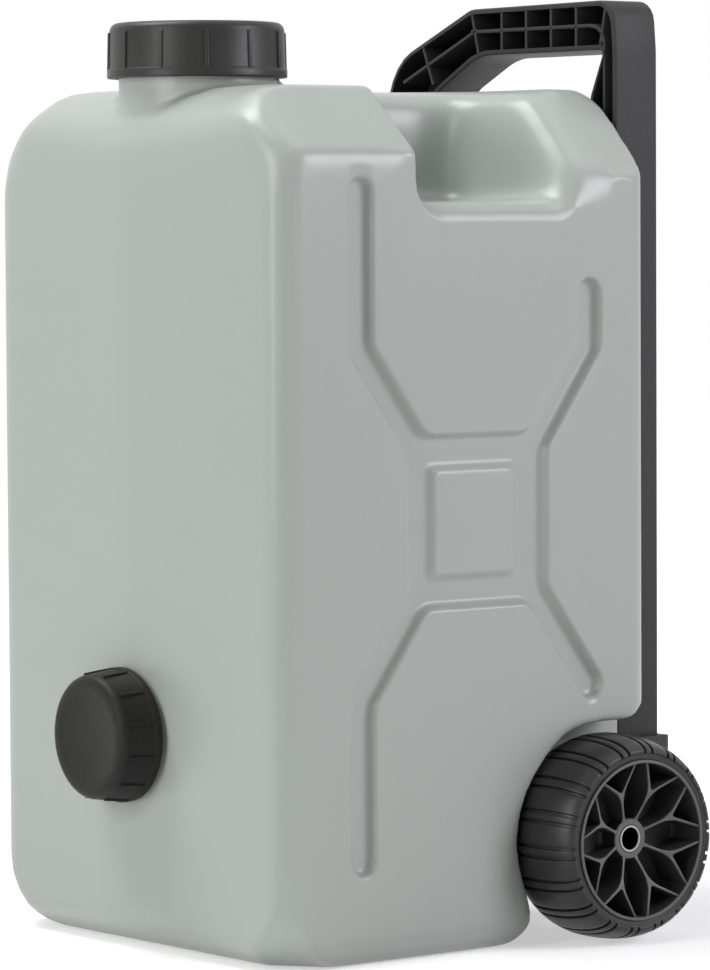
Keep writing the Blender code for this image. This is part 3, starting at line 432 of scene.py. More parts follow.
class Finish:
    """One procedural material, laid out from the object's own coordinates."""

    def __init__(self, name, owner=None, shader="Principled BSDF", **constants):
        self.material = owner or bpy.data.materials.new(name)
        self.material.use_nodes = True
        self.tree = self.material.node_tree
        self.shader = self.tree.nodes[shader]
        for socket, value in constants.items():
            self.shader.inputs[socket.replace("_", " ")].default_value = value
        self.place = self.node("ShaderNodeTexCoord", {}, {}, "Object")

    def node(self, kind, settings, values, output=0):
        node = self.tree.nodes.new(kind)
        for name, value in settings.items():
            setattr(node, name, value)
        pairs = values.items() if isinstance(values, dict) else enumerate(values)
        for key, value in pairs:
            if isinstance(value, Amount):
                self.tree.links.new(value.socket, node.inputs[key])
            else:
                node.inputs[key].default_value = value
        return Amount(self, node.outputs[output])

    def noise(self, size, detail=2, roughness=0.5, stretch=None):
        """Noise from 0 to 1 whose spots are about size metres wide."""
        place = self.place
        if stretch is not None:
            place = self.node("ShaderNodeMapping", {}, {"Vector": place, "Scale": stretch})
        values = {"Vector": place, "Scale": 1 / size, "Detail": detail, "Roughness": roughness}
        return self.node("ShaderNodeTexNoise", {}, values, "Fac")

    def blend(self, share, first, second):
        """The colour first where share is 0, and second where it is 1."""
        values = {0: share, 6: first, 7: second}
        return self.node("ShaderNodeMix", {"data_type": "RGBA"}, values, 2)

    def apart(self, vector):
        """The three numbers of a place."""
        split = self.node("ShaderNodeSeparateXYZ", {}, [vector])
        return [Amount(self, socket) for socket in split.socket.node.outputs]

    def ramp(self, amount, low, high):
        """Amount spread so that low becomes 0 and high becomes 1."""
        values = {"Value": amount, "From Min": low, "From Max": high}
        return self.node("ShaderNodeMapRange", {"clamp": True}, values)

    def bump(self, height, distance, strength, normal=None):
        values = {"Height": height, "Distance": distance, "Strength": strength}
        if normal is not None:
            values["Normal"] = normal
        return self.node("ShaderNodeBump", {}, values, "Normal")

    def feed(self, **links):
        for socket, amount in links.items():
            self.tree.links.new(amount.socket, self.shader.inputs[socket.replace("_", " ")])
        return self.material


def tank_finish():
    """Blow-moulded grey-green plastic: slightly uneven colour and gloss, and a very fine grain."""
    finish = Finish("tank_plastic", Specular_IOR_Level=0.5)
    clouds = finish.noise(110 * MM, 3, 0.55)
    flecks = finish.noise(2.2 * MM)
    body = finish.blend(clouds, TANK_DEEP, TANK_PALE)
    body = finish.blend(finish.ramp(flecks, 0.35, 0.75) * 0.3, body, TANK_FLECK)
    gloss = 0.28 + clouds * 0.05 + finish.noise(9 * MM) * 0.04
    grain = finish.noise(0.75 * MM, 1) * 0.6 + finish.noise(3.2 * MM) * 0.4
    swell = finish.noise(45 * MM, 1)
    normal = finish.bump(swell, 0.45 * MM, 0.35, finish.bump(grain, 0.035 * MM, 0.6))
    return finish.feed(Base_Color=body, Roughness=gloss, Normal=normal)


def dark_finish(name, dark, pale, gloss, grain_size, grain_depth, scuff=0.25, sheen=0.3):
    """Dark moulded plastic or rubber: a fine grain, patches of wear and an uneven gloss."""
    finish = Finish(name, Specular_IOR_Level=sheen)
    patches = finish.noise(24 * MM, 3, 0.6)
    specks = finish.noise(grain_size * 2.5)
    worn = tuple(2.1 * part for part in pale[:3]) + (1,)
    body = finish.blend(patches, dark, pale)
    body = finish.blend(finish.ramp(specks, 0.5, 0.8) * scuff, body, worn)
    shine = gloss + patches * 0.1 - finish.ramp(specks, 0.4, 0.8) * 0.05
    grain = finish.noise(grain_size)
    return finish.feed(Base_Color=body, Roughness=shine, Normal=finish.bump(grain, grain_depth, 0.7))


def from_axle(finish):
    """How far each place is from the wheels' axle."""
    far, high = finish.apart(finish.place)[1:]
    return ((far - AXLE_Y) ** 2 + (high - AXLE_HEIGHT) ** 2) ** 0.5


def rim_finish():
    """Dark moulded plastic whose outermost faces, at the wheel's face, are painted paler as a painted
    highlight.
    """
    finish = Finish("rim_plastic", Specular_IOR_Level=0.35)
    patches = finish.noise(24 * MM, 3, 0.6)
    across = finish.apart(finish.place)[0]
    outwards = finish.ramp(from_axle(finish), HUB_RADIUS, RIM_INSIDE)
    dish = outwards * (SPOKE_FACE - HUB_FACE) + HUB_FACE
    depth = dish - (across * across) ** 0.5
    # Painted highlight: the outermost faces of spokes, hub and barrel are coloured paler.
    edge = 1 - finish.ramp(depth, 0.15 * MM, 0.9 * MM)
    body = finish.blend(patches, RIM_DARK, RIM_PALE)
    body = finish.blend(edge * (0.75 + patches * 0.25), body, RIM_PAINTED_HIGHLIGHT)
    grain = finish.bump(finish.noise(0.8 * MM), 0.03 * MM, 0.7)
    return finish.feed(Base_Color=body, Roughness=0.42 + patches * 0.1, Normal=grain)


def steel_finish(name, bore=0):
    """Zinc-plated steel, brushed round its length, and painted near black inside a tube's bore as painted
    shade.
    """
    finish = Finish(name, Metallic=1.0)
    brushed = finish.noise(0.6 * MM, 2, 0.6, (1, 0.08, 0.08))
    bloom = finish.noise(7 * MM, 3)
    body = finish.blend(bloom, STEEL_DEEP, STEEL_PALE)
    # Painted shade: inside the bore's radius the colour is near black.
    if bore:
        outside = finish.ramp(from_axle(finish), bore, bore + 0.4 * MM)
        body = finish.blend(outside, BORE_PAINTED_SHADE, body)
    shine = 0.3 + brushed * 0.16 + bloom * 0.06
    return finish.feed(Base_Color=body, Roughness=shine, Normal=finish.bump(brushed, 0.02 * MM, 0.5))


def dress(obj, material):
    obj.data.materials.clear()
    obj.data.materials.append(material)
    return obj


# Tank


def points_of(obj):
    """The places of obj's vertices, a row for each."""
    work_on(obj)
    places = np.empty(len(obj.data.vertices) * 3)
    obj.data.vertices.foreach_get("co", places)
    return places.reshape(-1, 3)


def softened_by_zone(obj, turns, zone):
    """Rounds obj where zone gives a share above 0, up to 1. Its x is the distance from the middle."""
    x, y, z = points_of(obj).T
    share = np.clip(zone(np.abs(x), y, z), 0, 1)
    group = obj.vertex_groups.new(name="soft")
    steps = 20
    levels = np.round(share * steps).astype(int)
    for level in range(1, steps + 1):
        group.add(np.nonzero(levels == level)[0].tolist(), level / steps, "REPLACE")
    use(obj, "SMOOTH", factor=0.5, iterations=turns, vertex_group="soft")
    obj.vertex_groups.remove(obj.vertex_groups["soft"])


def rise(place, low, high):
    """0 below low millimetres, 1 above high millimetres, and an even blend between them."""
    share = np.clip((place / MM - low) / (high - low), 0, 1)
    return share * share * (3 - 2 * share)


def within(place, starts, full, fades, ends):
    """1 between full and fades millimetres, 0 before starts and after ends, and even blends between."""
    return rise(place, starts, full) * (1 - rise(place, fades, ends))


def grip_zone(x, y, z):
    """The ridge between the recesses, the edges of the shoulders and the roll at the front of the top."""
    ahead_of_rear = 1 - rise(y, 100, 112)
    ridge = (1 - rise(x, 42, 56)) * rise(z, 470, 485) * rise(y, -62, -45) * ahead_of_rear
    upper_edge = rise(z, 450, 470) * rise(y, 50, 62) * ahead_of_rear
    before_grip = 0.25 * (1 - rise(y, -60, -52))
    behind_grip = 0.3 * within(y, 75, 85, 105, 120)
    lower_edge = (before_grip + behind_grip) * rise(x, 110, 125) * within(z, 466, 474, 505, 520)
    off_neck = rise(np.hypot(x, y - NECK_Y), 54, 66)
    roll = 0.4 * off_neck * rise(-y, 90, 110) * within(z, 455, 475, 512, 520)
    roll = roll * (1 - 0.5 * rise(x, 100, 120))
    return np.max([ridge, upper_edge, lower_edge, roll], axis=0)


def arch_zone(x, y, z):
    """The rim of each wheel well and the tank's foot before it."""
    from_rim = np.abs(np.hypot(y - AXLE_Y, z - AXLE_HEIGHT) - WELL_RADIUS)
    round_wheel = (1 - rise(from_rim, 12, 20)) * rise(x, 128, 136)
    foot = (1 - rise(z, 50, 60)) * rise(y, 0, 20) * rise(x, 120, 130)
    return ARCH_SHARE * np.maximum(round_wheel, foot) * (y < REAR - 2 * MM)


def soft_zone(x, y, z):
    """What is rounded most: the tank round its grips, and the rims of its wheel wells."""
    return np.maximum(grip_zone(x, y, z), arch_zone(x, y, z))


def pushed(obj, shift):
    """Moves the skin of obj by shift(x, y, z), as a hand pushes clay."""
    places = points_of(obj)
    places += np.stack(shift(*places.T), 1)
    obj.data.vertices.foreach_set("co", places.ravel())
    obj.data.update()


def fuller_form(x, y, z):
    """A fuller rear shoulder on each side, deeper channels, and a rim that closes in round each wheel."""
    side, wide = np.sign(x), np.abs(x)
    shoulder = rise(wide, 60, 115) * rise(y, 80, 130) * np.clip((z / MM - 476) / 39, 0, 1)
    dy, dz = y - AXLE_Y, z - AXLE_HEIGHT
    away = np.hypot(dy, dz)
    from_rim = away - WELL_RADIUS
    rim = rise(away, 55, 65) * (1 - rise(from_rim, 0, 24)) * rise(wide, 118, 128)
    less = WELL_CLOSING_FRONT - WELL_CLOSING_REAR
    pull = WELL_CLOSING_FRONT - less * rise(dy, -58, -18)
    inwards = -pull * rim / np.maximum(away, 10 * MM)
    lip = rise(z, 428, 435) * rise(y, -75, -68)
    panel = (1 - panel_zone(wide, y, z)) * (1 - lip) * rise(from_rim, 8, 16)
    deeper = CHANNEL_DEEPENING * panel * np.clip(TANK_HALF - wide, 0, 5 * MM)
    return side * (shoulder * SHOULDER_FULLNESS - deeper), inwards * dy, inwards * dz


def panel_zone(x, y, z):
    """All but the flat side panels, whose channels stay crisp."""
    return 1 - rise(x, 138, 143) * within(y, -130, -120, 120, 128) * within(z, 20, 30, 474, 480)


def grip_line(across, start, end, floor, bends):
    """The right grip recess's outline at one distance from the middle, open above and leaning back."""
    top = TANK_TOP + TOOL_REACH
    corners = [(start, floor), (end, floor), (end + GRIP_LEAN, top), (start, top)]
    return rounded_line("grip_line", corners, [*bends, 0, 0], across, "X", 6)


def pocket_line(across, inset, bends):
    """The pocket's outline, in by inset all round."""
    return grip_line(across, GRIP_FRONT + inset, GRIP_REAR - inset, GRIP_FLOOR + inset, bends)


def lip_line(across, drop):
    """The outline where the rounded lip has dropped by drop."""
    share = drop / GRIP_LIP
    start, end = GRIP_FRONT - share * LIP_AHEAD, GRIP_REAR + share * LIP_BEHIND
    bends = [LIP_BEND + max(share, 0) * wider for wider in (18 * MM, 10 * MM)]
    return grip_line(across, start, end, GRIP_FLOOR - drop, bends)


def make_grip_scoop():
    """What is scooped out for the right grip: a pocket with a rounded end, and the lip at the tank's side."""
    rounds = 5
    lines = []
    for step in range(rounds + 1):
        angle = math.radians(90 * step / rounds)
        inset = GRIP_END * (1 - math.sin(angle))
        bend = GRIP_BENDS[0] + inset * 0.4
        lines.append(pocket_line(RIDGE_HALF + GRIP_END * (1 - math.cos(angle)), inset, (bend, bend)))
    lines.append(pocket_line(TANK_HALF + TOOL_REACH, 0, GRIP_BENDS))
    pocket = lofted("grip_scoop", lines)
    size = 2.6 * MM
    use(pocket, "REMESH", mode="VOXEL", voxel_size=size)
    use(pocket, "SMOOTH", factor=0.5, iterations=round(2 * (GRIP_SOFTNESS / size) ** 2))
    inner = TANK_HALF - GRIP_LIP
    lines = [lip_line(inner - 2 * MM, -MM)]
    for step in range(rounds):
        angle = math.radians(90 * (step + 0.5) / rounds)
        lines.append(lip_line(inner + GRIP_LIP * math.sin(angle), GRIP_LIP * (1 - math.cos(angle))))
    lines.append(lip_line(TANK_HALF + 20 * MM, GRIP_LIP))
    return carve(pocket, lofted("grip_lip", lines), "UNION")


def cut_off(obj, place, out):
    """Cuts away what lies beyond a plane, on the side that out points to."""
    edit(obj)
    bpy.ops.mesh.select_all(action="SELECT")
    bpy.ops.mesh.bisect(plane_co=place, plane_no=out, clear_outer=True)
    bpy.ops.object.mode_set(mode="OBJECT")


def make_plain_top():
    """The tank's upper rear half without its recesses: the tightest skin round it."""
    plug = copy_of_node("tank", "plain_top")
    cut_off(plug, (0, 0, TANK_TOP - 0.1 * MM), (0, 0, 1))
    cut_off(plug, (0, 0, GRIP_FLOOR - 9 * MM), (0, 0, -1))
    cut_off(plug, (0, -62 * MM, 0), (0, -1, 0))
    edit(plug)
    bpy.ops.mesh.select_all(action="SELECT")
    bpy.ops.mesh.convex_hull()
    bpy.ops.object.mode_set(mode="OBJECT")
    return merge_and_face_out(plug)


def at_a_mouth(face):
    """Whether a face is part of the flat ring at the mouth of either neck."""
    spot = centre(face)
    above = abs(face.normal.z) > 0.99 and abs(spot.z - NECK_TOP) < 0.2 * MM
    ahead = abs(face.normal.y) > 0.99 and abs(spot.y - DRAIN_MOUTH) < 0.2 * MM
    return above or ahead


def tank_without_inside():
    """The tank's outer skin, closed over both mouths."""
    shell = copy_of_node("tank", "tank_shell")
    pick(shell, "FACE", at_a_mouth)
    bpy.ops.mesh.delete(type="FACE")
    bpy.ops.object.mode_set(mode="OBJECT")
    pick(shell, "FACE", lambda f: centre(f).z < 0.05 * MM)
    bpy.ops.mesh.select_linked()
    bpy.ops.mesh.select_all(action="INVERT")
    bpy.ops.mesh.delete(type="FACE")
    bpy.ops.mesh.select_mode(type="EDGE")
    bpy.ops.mesh.select_non_manifold()
    bpy.ops.mesh.edge_face_add()
    bpy.ops.object.mode_set(mode="OBJECT")
    return shell


def make_tank_shell():
    """The tank's skin, scooped out for the grips, softened as blow-moulding does, then hollowed."""
    shell = tank_without_inside()
    carve(shell, make_plain_top(), "UNION")
    scoop = make_grip_scoop()
    carve(shell, mirrored(scoop, "left_scoop"))
    carve(shell, scoop)
    voxel = 1.6 * MM
    use(shell, "REMESH", mode="VOXEL", voxel_size=voxel)
    # A finer skin takes more turns of smoothing to be rounded as far.
    turns = (1.9 * MM / voxel) ** 2
    use(shell, "SMOOTH", factor=0.5, iterations=1)
    softened_by_zone(shell, max(1, round(6 * turns)), panel_zone)
    pushed(shell, fuller_form)
    softened_by_zone(shell, round(520 * turns), soft_zone)
    use(shell, "DECIMATE", ratio=min(1, SKIN_TRIANGLES / (2 * len(shell.data.polygons))))
    cut_off(shell, (0, 0, NECK_TOP - MOUTH_TRIM), (0, 0, 1))
    cut_off(shell, (0, DRAIN_MOUTH + MOUTH_TRIM, 0), (0, -1, 0))
    use(shell, "SOLIDIFY", thickness=TANK_WALL, offset=-1)
    work_on(shell)
    bpy.ops.object.shade_smooth()
    return shell


# Screw caps


def make_cap(name, steps, radius, length, bore, taper):
    """A screw cap about Z with its foot at height 0: rounded crown, ribbed skirt and a foot ring."""
    skirt = radius - 1.1 * MM
    ring = 5.6 * MM
    crown = 5.2 * MM
    shoulder = skirt - taper - crown
    profile = [(0, length - 0.4 * MM), (shoulder - 6 * MM, length - 0.4 * MM), (shoulder - 4.5 * MM, length)]
    for step in range(7):
        angle = math.radians(90 - 15 * step)
        profile.append((shoulder + crown * math.cos(angle), length - crown + crown * math.sin(angle)))
    profile += [(skirt, ring + 0.5 * MM), (skirt + 0.15 * MM, ring + 0.1 * MM), (radius - 0.4 * MM, ring)]
    profile += [(radius, ring - 0.5 * MM), (radius, 0.6 * MM), (radius - 0.6 * MM, 0)]
    profile += [(bore, 0), (bore, length - 3 * MM), (0, length - 3 * MM)]
    cap = spun(name, profile, (0, 0, 0), "Z", steps, closed=False)
    half = 1.25 * MM
    top = length - crown - 0.6 * MM
    rib = block(f"{name}_rib", (skirt - 2 * half, -half, ring - MM), (radius + 0.1 * MM, half, top))
    pick(rib, "FACE", lambda f: f.normal.z > 0.9)
    bpy.ops.transform.translate(value=(-taper * 0.9, 0, 0))
    bpy.ops.object.mode_set(mode="OBJECT")

    def is_outer_edge(edge):
        spot = centre(edge)
        return spot.x > skirt and (abs(spot.y) > 0.5 * MM or spot.z > top - 0.1 * MM)

    pick(rib, "EDGE", is_outer_edge)
    bpy.ops.mesh.bevel(offset=0.8 * MM, segments=3, affect="EDGES")
    bpy.ops.object.mode_set(mode="OBJECT")
    parts = [cap]
    for number in range(CAP_RIBS):
        turn = Matrix.Rotation(math.tau * (number + 0.5) / CAP_RIBS, 4, "Z")
        parts.append(copied(rib, f"{name}_rib_{number}", turn))
    bpy.data.objects.remove(rib)
    return smooth(joined(parts, name), 40)


def make_thread(name, radius, place, axis, height):
    """A rounded thread ridge that winds up a neck."""
    clear_selection()
    bpy.ops.mesh.primitive_circle_add(vertices=8, radius=1.5 * MM, rotation=(math.radians(90), 0, 0))
    obj = bpy.context.object
    obj.name = name
    bpy.ops.object.transform_apply(location=True, rotation=True, scale=True)
    pick(obj, "VERT", lambda v: True)
    bpy.ops.transform.translate(value=(radius, 0, 0))
    bpy.ops.object.mode_set(mode="OBJECT")
    steps = int(48 * THREAD_TURNS)
    angle = math.tau * THREAD_TURNS
    use(obj, "SCREW", axis="Z", angle=angle, screw_offset=height, steps=steps, render_steps=steps)
    pick(obj, "EDGE", lambda e: e.is_boundary)
    bpy.ops.mesh.edge_face_add()
    bpy.ops.object.mode_set(mode="OBJECT")
    turn = Matrix.Rotation(math.radians(90), 4, "X") if axis == "Y" else Matrix.Identity(4)
    obj.data.transform(Matrix.Translation(place) @ turn)
    return smooth(merge_and_face_out(obj), 60)


# Trolley frame


def frame_outlines(inset):
    """The frame's outside and window, drawn from behind, as much further in as inset."""
    outer = FRAME_HALF - inset
    rail = FRAME_HALF - RAIL_WIDTH + inset
    top = FRAME_TOP - inset
    bar = FRAME_TOP - CROSSBAR + inset
    slope = math.atan2(SHOULDER_DROP, FRAME_HALF - SHOULDER_START)
    steep = math.atan2(SHOULDER_FALL, FRAME_HALF - SHOULDER_START)
    shift = inset * math.tan(slope / 2)
    drop = SHOULDER_DROP - inset * (1 / math.cos(slope) - math.tan(slope))
    outside = [
        (outer, RAIL_FOOT + inset),
        (outer, CORNER_FOOT),
        (outer - CORNER_LEAN, top),
        (-SHOULDER_START + shift, top - MM),
        (-outer, FRAME_TOP - drop - inset / math.cos(slope)),
        (-outer, RAIL_FOOT + inset),
    ]
    start = -SHOULDER_START + (CROSSBAR - inset) * math.tan(steep / 2)
    fall = (rail + start) * math.tan(steep)
    low = WINDOW_FOOT - inset
    lean = FRAME_HALF - RAIL_TOP_WIDTH + inset
    knee = FRAME_TOP - CROSSBAR - KNEE_DROP
    window = [(rail, low), (rail, knee), (lean, bar), (start, bar), (-rail, bar - fall), (-rail, low)]
    return outside, window


def rib_between(name, start, end):
    """A thin upright rib between two points of the frame's plane."""
    start, end = Vector(start), Vector(end)
    middle = (start + end) / 2
    length = (end - start).length
    turn = math.atan2(end.y - start.y, end.x - start.x)
    low = FRAME_FRONT + 0.4 * MM
    high = FRAME_REAR - FRAME_BACK / 2
    clear_selection()
    bpy.ops.mesh.primitive_cube_add(
        size=1,
        location=(middle.x, (low + high) / 2, middle.y),
        rotation=(0, -turn, 0),
        scale=(length, high - low, RIB),
    )
    obj = bpy.context.object
    obj.name = name
    bpy.ops.object.transform_apply(location=True, rotation=True, scale=True)
    pick(obj, "EDGE", lambda e: centre(e).y < low + 0.1 * MM and e.calc_length() > 3 * MM)
    bpy.ops.mesh.bevel(offset=0.7 * MM, segments=2, affect="EDGES")
    bpy.ops.object.mode_set(mode="OBJECT")
    return smooth(obj, 40)


def bar_rib_lines():
    """The upright ribs of the cross bar and its middle rib, which bends down into the right rail."""
    bite = FRAME_WALL / 2
    top, bar = FRAME_TOP - bite, FRAME_TOP - CROSSBAR + bite
    middle = FRAME_TOP - CROSSBAR / 2
    lean = FRAME_HALF - RAIL_TOP_WIDTH
    uprights = [FIRST_BAR_RIB + BAR_CELL * number for number in range(4)]
    lines = [((across, bar), (across, top)) for across in uprights]
    bend = [
        (-SHOULDER_START, middle),
        (89 * MM, middle),
        (95.5 * MM, middle - 1.5 * MM),
        (100 * MM, middle - 5 * MM),
        (102 * MM, middle - 11 * MM),
        (102 * MM, 470 * MM),
    ]
    lines += zip(bend, bend[1:])
    lines.append(((lean - 4 * MM, bar), (lean + 2 * MM, top)))
    return lines


def shoulder_rib_lines():
    """The sloping shoulder's two cross ribs and its spine."""
    bite = FRAME_WALL / 2
    slope = math.atan2(SHOULDER_DROP, FRAME_HALF - SHOULDER_START)
    down = Vector((-math.cos(slope), -math.sin(slope)))
    across = Vector((math.sin(slope), -math.cos(slope)))
    knee = Vector((-SHOULDER_START, FRAME_TOP))
    foot = Vector((-SHOULDER_START + 7 * MM, FRAME_TOP - CROSSBAR + bite))
    start = knee + down * 55 * MM
    spine = knee + across * (CROSSBAR / 2)
    return [
        (knee + Vector((0, -bite)), foot),
        (start + across * bite, start + across * (CROSSBAR - bite)),
        (spine, spine + down * (3.4 * BAR_CELL)),
    ]


def rail_rib_lines(side):
    """The zigzag of ribs down one rail."""
    bite = FRAME_WALL / 2
    inner, outer = side * (FRAME_HALF - RAIL_WIDTH + bite), side * (FRAME_HALF - bite)
    floor = RAIL_RIBS_FOOT
    ceiling = FRAME_TOP - CROSSBAR - (KNEE_DROP if side > 0 else SHOULDER_DROP)
    lines = []
    for number in range(int((ceiling - floor) / RAIL_CELL)):
        low, high = floor + RAIL_CELL * number, floor + RAIL_CELL * (number + 1)
        lines.append(((inner, low), (outer, high)) if number % 2 else ((outer, low), (inner, high)))
    return lines


def frame_ribs():
    """The ribs of the cross bar, the sloping shoulder and the two rails."""
    lines = bar_rib_lines() + shoulder_rib_lines() + rail_rib_lines(1) + rail_rib_lines(-1)
    return [rib_between(f"frame_rib_{number}", *line) for number, line in enumerate(lines)]


def millimetres(*sizes):
    return [size * MM for size in sizes]


def frame_blank():
    """The solid hoop, with its window and the gap between its legs cut through."""
    outside, window = frame_outlines(0)
    radii = millimetres(0, 60, 14, 22, 38, 0)
    hoop = plate("trolley_frame_moulding", outside, radii, FRAME_FRONT, FRAME_REAR)
    opening = plate("window", window, millimetres(6, 12, 3, 45, 60, 6), FRAME_FRONT - MM, FRAME_REAR + MM)
    pick(opening, "VERT", lambda v: v.co.y > FRAME_REAR and v.co.z > FRAME_TOP - CROSSBAR - 14 * MM)
    bpy.ops.transform.translate(value=(0, 0, -1.5 * MM))
    bpy.ops.object.mode_set(mode="OBJECT")
    carve(hoop, opening)
    gap = FRAME_HALF - RAIL_WIDTH
    low, high = (-gap, FRAME_FRONT - MM, RAIL_FOOT - MM), (gap, FRAME_REAR + MM, LEG_TOP)
    carve(hoop, block("leg_gap", low, high))
    return soften_edges(hoop, 1.2 * MM, 3)


def frame_pocket():
    """The space inside the hoop's walls, open in front."""
    inside, border = frame_outlines(FRAME_WALL)
    front = FRAME_FRONT - MM
    pocket = plate("pocket", inside, millimetres(0, 57, 13, 20, 35, 0), front, FRAME_REAR - FRAME_BACK)
    carve(pocket, plate("border", border, millimetres(8, 12, 5, 44, 58, 8), front - MM, FRAME_REAR))
    leg = FRAME_HALF - RAIL_WIDTH + FRAME_WALL
    low, high = (-leg, front - MM, 0), (leg, FRAME_REAR, LEG_TOP + FRAME_WALL)
    return carve(pocket, block("leg_wall", low, high))


def screw_hole(seat):
    """The tool that opens a hole for a screw's head from behind."""
    reach = 40 * MM
    profile = [(0, 0), (HEAD_BORE, 0), (HEAD_BORE, reach), (0, reach)]
    return spun("hole", profile, seat + Vector((0, BOSS_FLOOR, 0)), "Y", 24, closed=False)


def screw_boss(seat):
    """A tube round a screw, with a floor that the screw's head seats on."""
    profile = [(BOSS_RADIUS, 0), (BOSS_RADIUS, BOSS_LENGTH), (HEAD_BORE, BOSS_LENGTH)]
    profile += [(HEAD_BORE, BOSS_FLOOR), (SCREW_BORE, BOSS_FLOOR), (SCREW_BORE, 0)]
    return smooth(spun("boss", profile, seat + Vector((0, 0.2 * MM, 0)), "Y", 28), 35)


def make_trolley_frame():
    """The moulded hoop with its pocket, ribs and screw bosses."""
    hoop = frame_blank()
    carve(hoop, frame_pocket())
    bosses = []
    for height in BOSS_HEIGHTS:
        for side in (1, -1):
            seat = Vector((side * (FRAME_HALF - RAIL_WIDTH / 2), FRAME_FRONT, height))
            carve(hoop, screw_hole(seat))
            bosses.append(screw_boss(seat))
    smooth(hoop, 40)
    return joined([hoop, *bosses, *frame_ribs()], "trolley_frame_moulding")


# Wheels


def spoke_corners():
    """One Y-shaped spoke along +Z from the hub: a stem to the fork and two branches to the rim."""
    reach = RIM_INSIDE + MM
    half = 0.85 * MM
    fork = Vector((30 * MM, 0))
    lean = math.radians(17.2)
    tip = Vector((reach * math.cos(lean), reach * math.sin(lean)))
    along = (tip - fork).normalized()
    side = Vector((-along.y, along.x)) * half
    angle = math.atan2(along.y, along.x)
    crotch = fork + Vector((half / math.sin(angle), 0))
    crook = fork + Vector((-half * math.tan(angle / 2), half))
    foot = Vector((HUB_RADIUS - MM, half + 0.9 * MM))
    waist = Vector((HUB_RADIUS + 2.5 * MM, half))
    upper = [foot, waist, crook, tip + side, tip - side]
    lower = [Vector((p.x, -p.y)) for p in reversed(upper)]
    radii = millimetres(0, 3, 16, 0, 0)
    return [(p.y, p.x) for p in upper + [crotch] + lower], radii + [1.6 * MM] + radii[::-1]


def rim_profile():
    """The barrel, web and hub of the right wheel's rim: distances from the axle and to the side."""
    back = WHEEL_FACE - TYRE_WIDTH
    return [
        (RIM_RADIUS - 0.6 * MM, WHEEL_FACE),
        (RIM_RADIUS, WHEEL_FACE - 0.6 * MM),
        (RIM_RADIUS, back),
        (RIM_INSIDE, back),
        (RIM_INSIDE, WEB_FACE - 3 * MM),
        (HUB_RADIUS, WEB_FACE - 3 * MM),
        (HUB_RADIUS, HUB_BACK),
        (HUB_BORE, HUB_BACK),
        (HUB_BORE, HUB_FACE - MM),
        (HUB_BORE + 0.8 * MM, HUB_FACE),
        (HUB_RADIUS - 0.5 * MM, HUB_FACE),
        (HUB_RADIUS, HUB_FACE - 0.5 * MM),
        (HUB_RADIUS + 0.6 * MM, WEB_FACE + 2 * MM),
        (HUB_RADIUS + 2.6 * MM, WEB_FACE),
        (RIM_INSIDE - 2 * MM, WEB_FACE),
        (RIM_INSIDE - 0.3 * MM, WEB_FACE + 2 * MM),
        (RIM_INSIDE, WHEEL_FACE - 0.5 * MM),
        (RIM_INSIDE + 0.5 * MM, WHEEL_FACE),
    ]


def make_spoke(place):
    """One spoke, cut to the dished face between the hub and the barrel, with its edges rounded."""
    corners, radii = spoke_corners()
    corners = [(place.y + across, place.z + up) for across, up in corners]
    spoke = plate("spoke", corners, radii, WEB_FACE - MM, WHEEL_FACE + MM, "X", 4)
    outer_end = Vector((SPOKE_FACE, 0, RIM_INSIDE))
    inner_end = Vector((HUB_FACE - 0.1 * MM, 0, HUB_RADIUS))
    slope = outer_end - inner_end
    facing = Vector((slope.z, 0, -slope.x)).normalized()
    edit(spoke)
    bpy.ops.mesh.select_all(action="SELECT")
    bpy.ops.mesh.bisect(plane_co=place + inner_end, plane_no=facing, use_fill=True, clear_outer=True)
    bpy.ops.object.mode_set(mode="OBJECT")
    pick(spoke, "FACE", lambda f: f.normal.dot(facing) > 0.99)
    bpy.ops.mesh.region_to_loop()
    bpy.ops.mesh.bevel(offset=0.45 * MM, segments=2, affect="EDGES")
    bpy.ops.object.mode_set(mode="OBJECT")
    return smooth(spoke, 40)


def make_rim(name):
    """The right wheel's rim: barrel, web, hub and eight forked spokes."""
    place = Vector((0, AXLE_Y, AXLE_HEIGHT))
    rim = smooth(spun(name, rim_profile(), place, "X", 96), 40)
    spoke = make_spoke(place)
    parts = [rim]
    for number in range(SPOKES):
        turn = about("X", place, math.tau * (number + 0.5) / SPOKES)
        parts.append(copied(spoke, f"spoke_{number}", turn))
    bpy.data.objects.remove(spoke)
    return joined(parts, name)


def tyre_profile():
    """The right tyre's outline: a side wall, a crowned tread with a short flat, and a rounded back."""
    height = TYRE_RADIUS - TYRE_EDGE
    bore = RIM_RADIUS + 0.3 * MM
    wall = WHEEL_FACE - 1.3 * MM
    crown = WHEEL_FACE - 32 * MM
    flat_end = crown - 4 * MM
    rows = 8
    profile = [(bore, wall), (TYRE_EDGE - 0.5 * MM, wall), (TYRE_EDGE, WHEEL_FACE - 0.5 * MM)]
    for step in range(rows + 1):
        angle = math.radians(8 + 82 * step / rows)
        across = crown + (WHEEL_FACE - crown) * math.cos(angle)
        profile.append((TYRE_EDGE + height * math.sin(angle), across))
    profile.append((TYRE_RADIUS, flat_end))
    for step in range(1, rows):
        angle = math.radians(90 - 84 * step / rows)
        across = TYRE_BACK + (flat_end - TYRE_BACK) * (1 - math.cos(angle))
        profile.append((TYRE_EDGE + height * math.sin(angle), across))
    return profile + [(TYRE_EDGE, TYRE_BACK), (bore, TYRE_BACK)]


